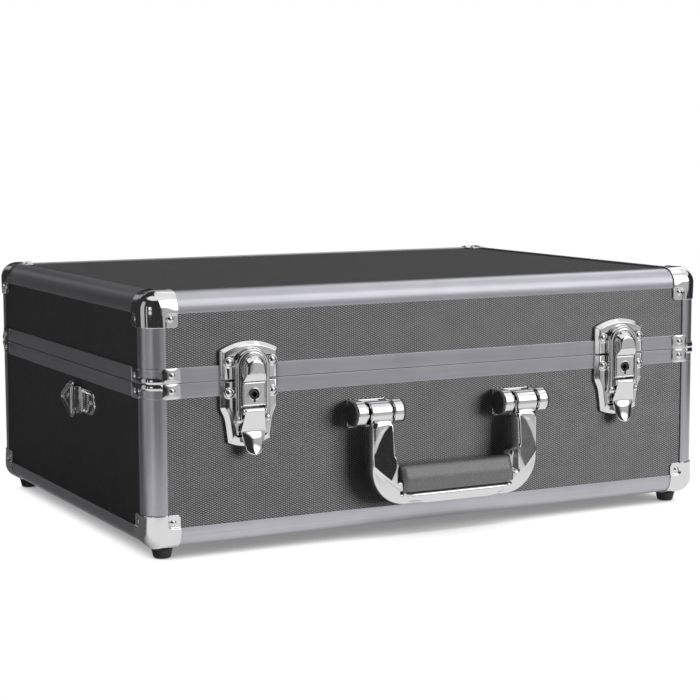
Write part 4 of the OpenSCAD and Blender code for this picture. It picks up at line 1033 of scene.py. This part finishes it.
def grip_section(shrink):
    """Outline of the grip in (out, up): crowned in front, rounded behind."""
    front = [(24.4 - 2.8 * ((z + 49.5) / 9.5) ** 2 - shrink, z)
             for z in np.linspace(-56.2 + shrink * 0.5, -43.5 - shrink, 9)]
    outline = [(9.0 + shrink, -57.85 + shrink), (21.2 - shrink, -57.85 + shrink)] + front
    outline += [(20.6 - shrink, -38.2 - shrink), (9.0 + shrink, -38.2 - shrink)]
    return fillet(outline, [3, 1.6] + [0] * 9 + [5.5, 4.5], 9)


grip = Shape()
loops = []
for f in np.linspace(-1, 1, 49):
    x = 45.4 * f
    end = max(0.0, (abs(x) - 44.2) / 1.2)
    section = grip_section(1.0 * (1 - math.sqrt(max(0, 1 - end ** 2))))
    loops.append(np.column_stack([np.full(len(section), x), section[:, 1], section[:, 0]]))
grip.add(loft(loops), plain)
piece("handle_grip_moulding", grip, "handle", GRIP, ["handle_grip"])

for s, name in ((-1, "left"), (1, "right")):
    shape = Shape()
    x = s * HANDLE_X
    shape.add(slab(rect(-18.3, 18.3, -11, 9, 1.8), -1.28, 1.0, 0.4), on_front(x, HANDLE_Z))
    for t in (-1, 1):
        cheek = [(0.9, -9.0), (10.3, -9.0)] + arc(10.3, 0, 9, -84, 84, 25) + [(10.3, 9.0), (0.9, 9.0)]
        at = t * 14.65
        shape.add(slab(cheek, at - 3.6, at + 3.6, 0.7, 0.7, steps=4), across_front(x, HANDLE_Z))
        shape.add(slab(fillet([(0.9, -10.6), (4.5, -9.0), (0.9, -9.0)], 0.1, 1), at - 3.4, at + 3.4, 0.2, 0.2),
                  across_front(x, HANDLE_Z))
    shape.add(slab(rect(-10.8, 10.8, 5.4, 8.9, 0.8), 0.9, 2.4, 0.6), on_front(x, HANDLE_Z))
    piece("handle_" + name + "_pivot_bracket", shape, "base", CHROME, ["handle_" + name + "_bracket"])

caps = Shape()
for s in (-1, 1):
    to = place((s * HANDLE_X, FRONT - 10.3, HANDLE_Z), (0, -1, 0), (0, 0, 1), (1, 0, 0))
    caps.add(lathe([(0, -18.3), (2.5, -18.3), (2.5, 18.3), (0, 18.3)], 32), to)
    for t in (-1, 1):
        cap = [(0, 18.2), (8.2, 18.2), (8.45, 18.5), (8.5, 19.2), (8.3, 19.9), (7.8, 20.3), (6.0, 20.55), (2.4, 20.65),
               (1.8, 20.4), (0, 20.35)]
        caps.add(lathe([(r, t * h) for r, h in cap], 56), to)
piece("handle_pin_caps", caps, "base", CAPS, ["handle_pins"])


# Strap rings

for side, name in ((-1, "left"), (1, "right")):
    to = on_side(side)
    oval = arc(24, 0, 9, -90, 90, 15) + arc(-24, 0, 9, 90, 270, 15)
    plate = Shape().add(pressed(oval, [(0, -1.28), (0, -0.3), (0.25, 0.15), (0.7, 0.45), (1.3, 0.68), (1.8, 0.62),
                                       (2.3, 0.3), (3.0, 0.24)]), to)
    roll = arc(4.4, 0, 3.0, 0, 352, 40)
    upright = place((side * CASE_W / 2, RING_Y, RING_Z), (side, 0, 0), (0, -1, 0), (0, 0, 1))
    plate.add(slab(roll, -10, 10, 0.35, 0.35), upright)
    for t in (-1, 1):
        web = [(0.1, t * 4.9), (0.8, t * 4.5), (2.2, t * 3.2), (4.4, t * 2.96), (4.4, 0), (0.1, 0)]
        plate.add(slab(web if t < 0 else web[::-1], -9.8, 9.8, 0.2, 0.2), upright)
    piece(name + "_strap_plate_pressing", plate, "base", CHROME, [name + "_strap_plate"])

    corners = [(0, -14.5), (0, 14.5), (-27, 0)]
    path = fillet(corners, [3.4, 3.4, 2.6], 9)
    path = np.vstack([path, path[:1]])
    dense = []
    for a, b in zip(path[:-1], path[1:]):
        count = max(1, int(np.linalg.norm(b - a) / 1.5))
        dense += [a + (b - a) * i / count for i in range(count)]
    n = len(dense)
    loops = []
    for i in range(n):
        tangent = dense[(i + 1) % n] - dense[i - 1]
        tangent /= np.linalg.norm(tangent)
        side_dir = np.array([-tangent[1], tangent[0]])
        loops.append(np.array([[*(dense[i] + side_dir * 1.5 * math.cos(a)), 4.4 + 1.5 * math.sin(a)]
                               for a in np.linspace(0, 2 * math.pi, 18, endpoint=False)]))
    loops.append(loops[0])
    piece(name + "_strap_wire", Shape().add(loft(loops, False, False), to), name + "_ring", CHROME,
          [name + "_strap_ring"])


# Padding

def pad(name, boxes, body, node, crown, quilt=0.0, seam=True):
    """Cloth-covered foam blocks: swollen by a cloth simulation, with piped edges and quilted lines."""
    made = []
    for number, (x1, x2, y1, y2, z1, z2) in enumerate(boxes):
        low, high = np.array([x1, y1, z1]), np.array([x2, y2, z2])
        mid, size = (low + high) / 2, (high - low)
        pull = min(1.2, size.min() * 0.12)
        bm = bmesh.new()
        bmesh.ops.create_cube(bm, size=1)
        for v in bm.verts:
            v.co = [(mid[i] + v.co[i] * (size[i] - 2 * pull)) * MM for i in range(3)]
        mesh = bpy.data.meshes.new(name + "_core")
        bm.to_mesh(mesh)
        bm.free()
        ob = bpy.data.objects.new(name + "_core", mesh)
        scene.collection.objects.link(ob)
        m = ob.modifiers.new("bevel", "BEVEL")
        m.width = min(2.2, size.min() * 0.24) * MM
        m.segments = 3
        bake(ob)
        m = ob.modifiers.new("remesh", "REMESH")
        m.mode = "VOXEL"
        m.voxel_size = min(6.0, max(2.6, size.min() * 0.32)) * MM
        bake(ob)
        rest = np.array([v.co[:] for v in ob.data.vertices]) / MM
        m = ob.modifiers.new("cloth", "CLOTH")
        m.settings.use_pressure = True
        m.settings.uniform_pressure_force = 4.0
        m.settings.effector_weights.gravity = 0.0
        m.settings.tension_stiffness = 25
        m.settings.compression_stiffness = 25
        m.point_cache.frame_start = 1
        m.point_cache.frame_end = 16
        for f in range(1, 15):
            scene.frame_set(f)
        graph = bpy.context.evaluated_depsgraph_get()
        done = ob.evaluated_get(graph).to_mesh()
        moved = np.array([v.co[:] for v in done.vertices]) / MM
        ob.evaluated_get(graph).to_mesh_clear()
        ob.modifiers.clear()
        scene.frame_set(1)
        step = moved - rest
        length = np.linalg.norm(step, axis=1)[:, None]
        moved = rest + step * np.minimum(1, crown / np.maximum(length, 1e-6))
        moved = np.clip(moved, low, high)
        thin = int(np.argmin(size))
        if quilt:
            a, b = [i for i in range(3) if i != thin]
            groove = np.zeros(len(moved))
            for axis in (a, b):
                count = max(1, round(size[axis] / quilt))
                pitch = size[axis] / count
                away = np.abs((moved[:, axis] - low[axis] + pitch / 2) % pitch - pitch / 2)
                edge = np.minimum(moved[:, axis] - low[axis], high[axis] - moved[:, axis]) > pitch * 0.4
                groove = np.maximum(groove, np.exp(-(away / 4.5) ** 2) * edge)
            depth = np.sign(moved[:, thin] - mid[thin]) * groove * min(2.4, size[thin] * 0.16)
            moved[:, thin] -= depth
        for v, co in zip(ob.data.vertices, moved):
            v.co = co * MM
        m = ob.modifiers.new("smooth", "SUBSURF")
        m.levels = 1
        bake(ob)
        for p in ob.data.polygons:
            p.use_smooth = True
        made.append(ob)
        if seam:
            a, b = [i for i in range(3) if i != thin]
            piping = Shape()
            for s in (-1, 1):
                outline = rect(low[a] + 1.3, high[a] - 1.3, low[b] + 1.3, high[b] - 1.3, min(5, size[b] * 0.2), 6)
                path = []
                for p, q in zip(outline, np.roll(outline, -1, 0)):
                    count = max(1, int(np.linalg.norm(q - p) / 4))
                    path += [p + (q - p) * i / count for i in range(count)]
                path = np.array(path)
                n = len(path)
                loops = []
                for i in range(n):
                    t = path[(i + 1) % n] - path[i - 1]
                    t /= np.linalg.norm(t)
                    out = np.array([t[1], -t[0]])
                    loop = []
                    for w in np.linspace(0, 2 * math.pi, 10, endpoint=False):
                        p = np.zeros(3)
                        p[[a, b]] = path[i] + out * 1.0 * math.cos(w)
                        p[thin] = mid[thin] + s * (size[thin] / 2 - 1.15) + 1.0 * math.sin(w)
                        loop.append(p)
                    loops.append(np.array(loop))
                loops.append(loops[0])
                piping.add(loft(loops, False, False))
            mesh = bpy.data.meshes.new(name + "_piping")
            mesh.from_pydata((np.concatenate(piping.verts) * MM).tolist(), [], piping.faces)
            cord = bpy.data.objects.new(name + "_piping", mesh)
            scene.collection.objects.link(cord)
            for p in mesh.polygons:
                p.use_smooth = True
            made.append(cord)
    bm = bmesh.new()
    for ob in made:
        bm.from_mesh(ob.data)
        bpy.data.objects.remove(ob)
    bmesh.ops.remove_doubles(bm, verts=bm.verts, dist=1e-6)
    bmesh.ops.recalc_face_normals(bm, faces=bm.faces)
    mesh = bpy.data.meshes.new(name)
    bm.to_mesh(mesh)
    bm.free()
    mesh.materials.append(CLOTH)
    ob = bpy.data.objects.new(name, mesh)
    scene.collection.objects.link(ob)
    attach(ob, body)
    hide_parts(node)
    return ob


def solid_boxes(node):
    return [(*[v for pair in zip(p.min(0), p.max(0)) for v in pair],) for p in islands(node)]


pad("floor_cushion", solid_boxes("base_floor_pad"), "base", "base_floor_pad", 1.0, quilt=74)
pad("wall_cushions", solid_boxes("base_wall_pads"), "base", "base_wall_pads", 0.9)
pad("long_divider_cushion", solid_boxes("long_divider"), "base", "long_divider", 1.1)
pad("cross_divider_cushions", solid_boxes("cross_dividers"), "base", "cross_dividers", 1.1)
pad("lid_cushion", solid_boxes("lid_pad"), "lid", "lid_pad", 1.6, quilt=52)


# Floor, light and camera

def make_floor():
    """A pale floor that ends a little way off, so that the sides of the case reflect a dark room. It shows only
    emission: an ambient-occlusion ramp darkens it near the case as a painted contact shadow, and what reflections see
    is a painted reflection, brighter close to the case and darker in a patch beside its left side.
    """
    outline = rect(-520, 760, -540, 430, 160, 16)
    mesh = bpy.data.meshes.new("studio_floor")
    mesh.from_pydata((level(outline, -0.4) * MM).tolist(), [], [tuple(range(len(outline)))])
    m, t, shader, where = new_material("studio_white_with_painted_shadow")
    shader.inputs["Roughness"].default_value = 0.9
    shader.inputs["Specular IOR Level"].default_value = 0.0
    shader.inputs["Base Color"].default_value = grey(0.0)
    # Ambient occlusion near the case turns the emission down: a painted contact shadow on a floor that shows only its
    # own glow.
    near = t.add("ShaderNodeAmbientOcclusion", {"Distance": 0.085})
    near.samples = 24
    brightness_with_painted_shadow = t.ramp(near.outputs["AO"], 0.0, 0.46, 0.24, 1.02)
    t.tree.links.new(t.mix(t.noise(where, 3.0), grey(0.99), grey(1.0)), shader.inputs["Emission Color"])
    t.tree.links.new(brightness_with_painted_shadow, shader.inputs["Emission Strength"])
    dim = t.add("ShaderNodeBsdfDiffuse", {"Color": grey(0.10)})
    xyz = t.add("ShaderNodeSeparateXYZ", {0: where}).outputs
    # What reflections see of the floor is a separate painted reflection: brighter close to the case than further in
    # front, and darkened by 0.70 in a patch beside the left side of the case.
    beside = t.math("MULTIPLY", t.ramp(xyz[0], -0.213, -0.230), t.ramp(xyz[1], -0.17, -0.12))
    reflection_level_by_depth = t.ramp(xyz[1], -0.44, -0.34, 0.58, 0.80)
    painted_reflection_strength = t.math("MULTIPLY", brightness_with_painted_shadow, t.math("SUBTRACT", reflection_level_by_depth, t.math("MULTIPLY", beside, 0.70)))
    painted_reflection = t.add("ShaderNodeEmission", {"Strength": painted_reflection_strength})
    ray = t.add("ShaderNodeLightPath").outputs
    one = t.add("ShaderNodeMixShader", {0: ray["Is Glossy Ray"], 1: shader.outputs[0], 2: painted_reflection.outputs[0]})
    both = t.add("ShaderNodeMixShader", {0: ray["Is Diffuse Ray"], 1: one.outputs[0], 2: dim.outputs[0]})
    t.tree.links.new(both.outputs[0], m.node_tree.nodes["Material Output"].inputs["Surface"])
    mesh.materials.append(m)
    ob = bpy.data.objects.new("studio_floor", mesh)
    scene.collection.objects.link(ob)


def make_world():
    """White studio: bright soft boxes to the right and left of the camera, dark behind them and overhead."""
    world = bpy.data.worlds.new("studio")
    scene.world = world
    world.use_nodes = True
    t = Nodes(world.node_tree)
    out = world.node_tree.nodes["World Output"]
    xyz = t.add("ShaderNodeSeparateXYZ", {0: t.add("ShaderNodeTexCoord").outputs["Generated"]}).outputs
    azimuth = t.math("MULTIPLY", t.math("ARCTAN2", xyz[0], t.math("MULTIPLY", xyz[1], -1.0)), 180 / math.pi)
    height = t.math("MULTIPLY", t.math("ARCSINE", xyz[2]), 180 / math.pi)

    def band(value, low, high, soft_low, soft_high):
        return t.math("MULTIPLY", t.ramp(value, low - soft_low, low + soft_low),
                      t.ramp(value, high - soft_high, high + soft_high, 1.0, 0.0))

    window = t.math("MULTIPLY", band(height, 9, 52, 4, 3), 1.7)
    sill = t.math("MULTIPLY", band(height, -13, 6, 1.5, 2.5), 0.34)
    right = t.math("MULTIPLY", band(azimuth, 19, 53, 5, 5), t.math("ADD", t.math("ADD", sill, window), 0.12))
    left = t.math("MULTIPLY", band(azimuth, -57, -41, 1.5, 1.5), band(height, -7, 11, 1.5, 1.5))
    side = t.math("MULTIPLY", band(azimuth, -114, -86, 2, 2), t.math("MULTIPLY", band(height, -12, 34, 3, 5), 0.45))
    far = t.math("MULTIPLY", band(azimuth, 118, 134, 2, 3), t.math("MULTIPLY", band(height, -12, 48, 3, 6), 0.9))
    strip = band(azimuth, -73, -69, 1, 1)
    strip = t.math("MULTIPLY", strip, t.math("MULTIPLY", band(height, -22, 14, 2, 4), 0.7))
    overhead = t.math("MULTIPLY", band(height, 54, 86, 2, 3), band(azimuth, -110, 150, 15, 15))
    lower = t.math("MULTIPLY", t.math("MULTIPLY", t.ramp(height, -13, -16), band(azimuth, -115, 115, 15, 15)), 0.72)
    behind = t.math("MULTIPLY", band(azimuth, 138, 178, 6, 2), t.math("MULTIPLY", band(height, -14, 1.5, 2, 1.5), 0.75))
    total = t.math("ADD", t.math("ADD", 0.03, t.math("MULTIPLY", overhead, 0.85)), lower)
    skyline = t.math("MULTIPLY", band(azimuth, 112, 175, 6, 4), t.math("MULTIPLY", band(height, 20, 40, 3, 4), 0.28))
    edge = t.math("MULTIPLY", band(azimuth, -179, -168, 1, 2), t.math("MULTIPLY", band(height, -14, 40, 3, 4), 0.3))
    shoulder = t.math("MULTIPLY", band(azimuth, 56, 150, 4, 8), t.math("MULTIPLY", band(height, 34, 56, 3, 3), 0.8))
    for part in (right, left, side, far, strip, behind, skyline, edge, shoulder):
        total = t.math("ADD", total, part)
    gloss = t.add("ShaderNodeBackground", {"Color": (1, 1, 1, 1), "Strength": total})
    fill = t.add("ShaderNodeBackground", {"Color": (1, 1, 1, 1), "Strength": 0.05})
    seen = t.add("ShaderNodeBackground", {"Color": (1, 1, 1, 1), "Strength": 1.0})
    ray = t.add("ShaderNodeLightPath").outputs
    one = t.add("ShaderNodeMixShader", {0: ray["Is Glossy Ray"], 1: fill.outputs[0], 2: gloss.outputs[0]})
    two = t.add("ShaderNodeMixShader", {0: ray["Is Camera Ray"], 1: one.outputs[0], 2: seen.outputs[0]})
    t.tree.links.new(two.outputs[0], out.inputs["Surface"])


def make_light(name, at, look, size, watts, glossy=False):
    data = bpy.data.lights.new(name, "AREA")
    data.shape = "RECTANGLE"
    data.size, data.size_y = size
    data.energy = watts
    ob = bpy.data.objects.new(name, data)
    scene.collection.objects.link(ob)
    at, look = np.array(at, float), np.array(look, float)
    ob.location = at
    d = look - at
    ob.rotation_euler = (math.atan2(math.hypot(d[0], d[1]), -d[2]), 0, math.atan2(-d[0], d[1]))
    ob.visible_glossy = glossy
    return ob


def make_camera():
    cy, sy = math.cos(CAMERA_YAW), math.sin(CAMERA_YAW)
    cp, sp = math.cos(CAMERA_PITCH), math.sin(CAMERA_PITCH)
    cr, sr = math.cos(CAMERA_ROLL), math.sin(CAMERA_ROLL)
    forward = np.array([sy * cp, cy * cp, -sp])
    right = np.array([cy, -sy, 0.0])
    up = np.cross(right, forward)
    right, up = cr * right + sr * up, -sr * right + cr * up
    data = bpy.data.cameras.new("photo_camera")
    data.lens, data.sensor_width = LENS, SENSOR
    data.clip_start, data.clip_end = 0.05, 30
    ob = bpy.data.objects.new("photo_camera", data)
    scene.collection.objects.link(ob)
    m = Matrix([[right[i], up[i], -forward[i], CAMERA_AT[i] * MM] for i in range(3)] + [[0, 0, 0, 1]])
    ob.matrix_world = m
    scene.camera = ob


make_floor()
make_world()
make_light("key", (1.3, -2.0, 0.5), (0, 0, 0.09), (1.2, 0.9), 84)
make_light("top", (0.3, 0.0, 1.9), (0, 0, 0.1), (1.4, 1.4), 8)
make_light("rear_fill", (0.3, 2.0, 0.9), (0, 0, 0.1), (1.2, 0.9), 10)
make_camera()
scene.view_settings.view_transform = "Standard"
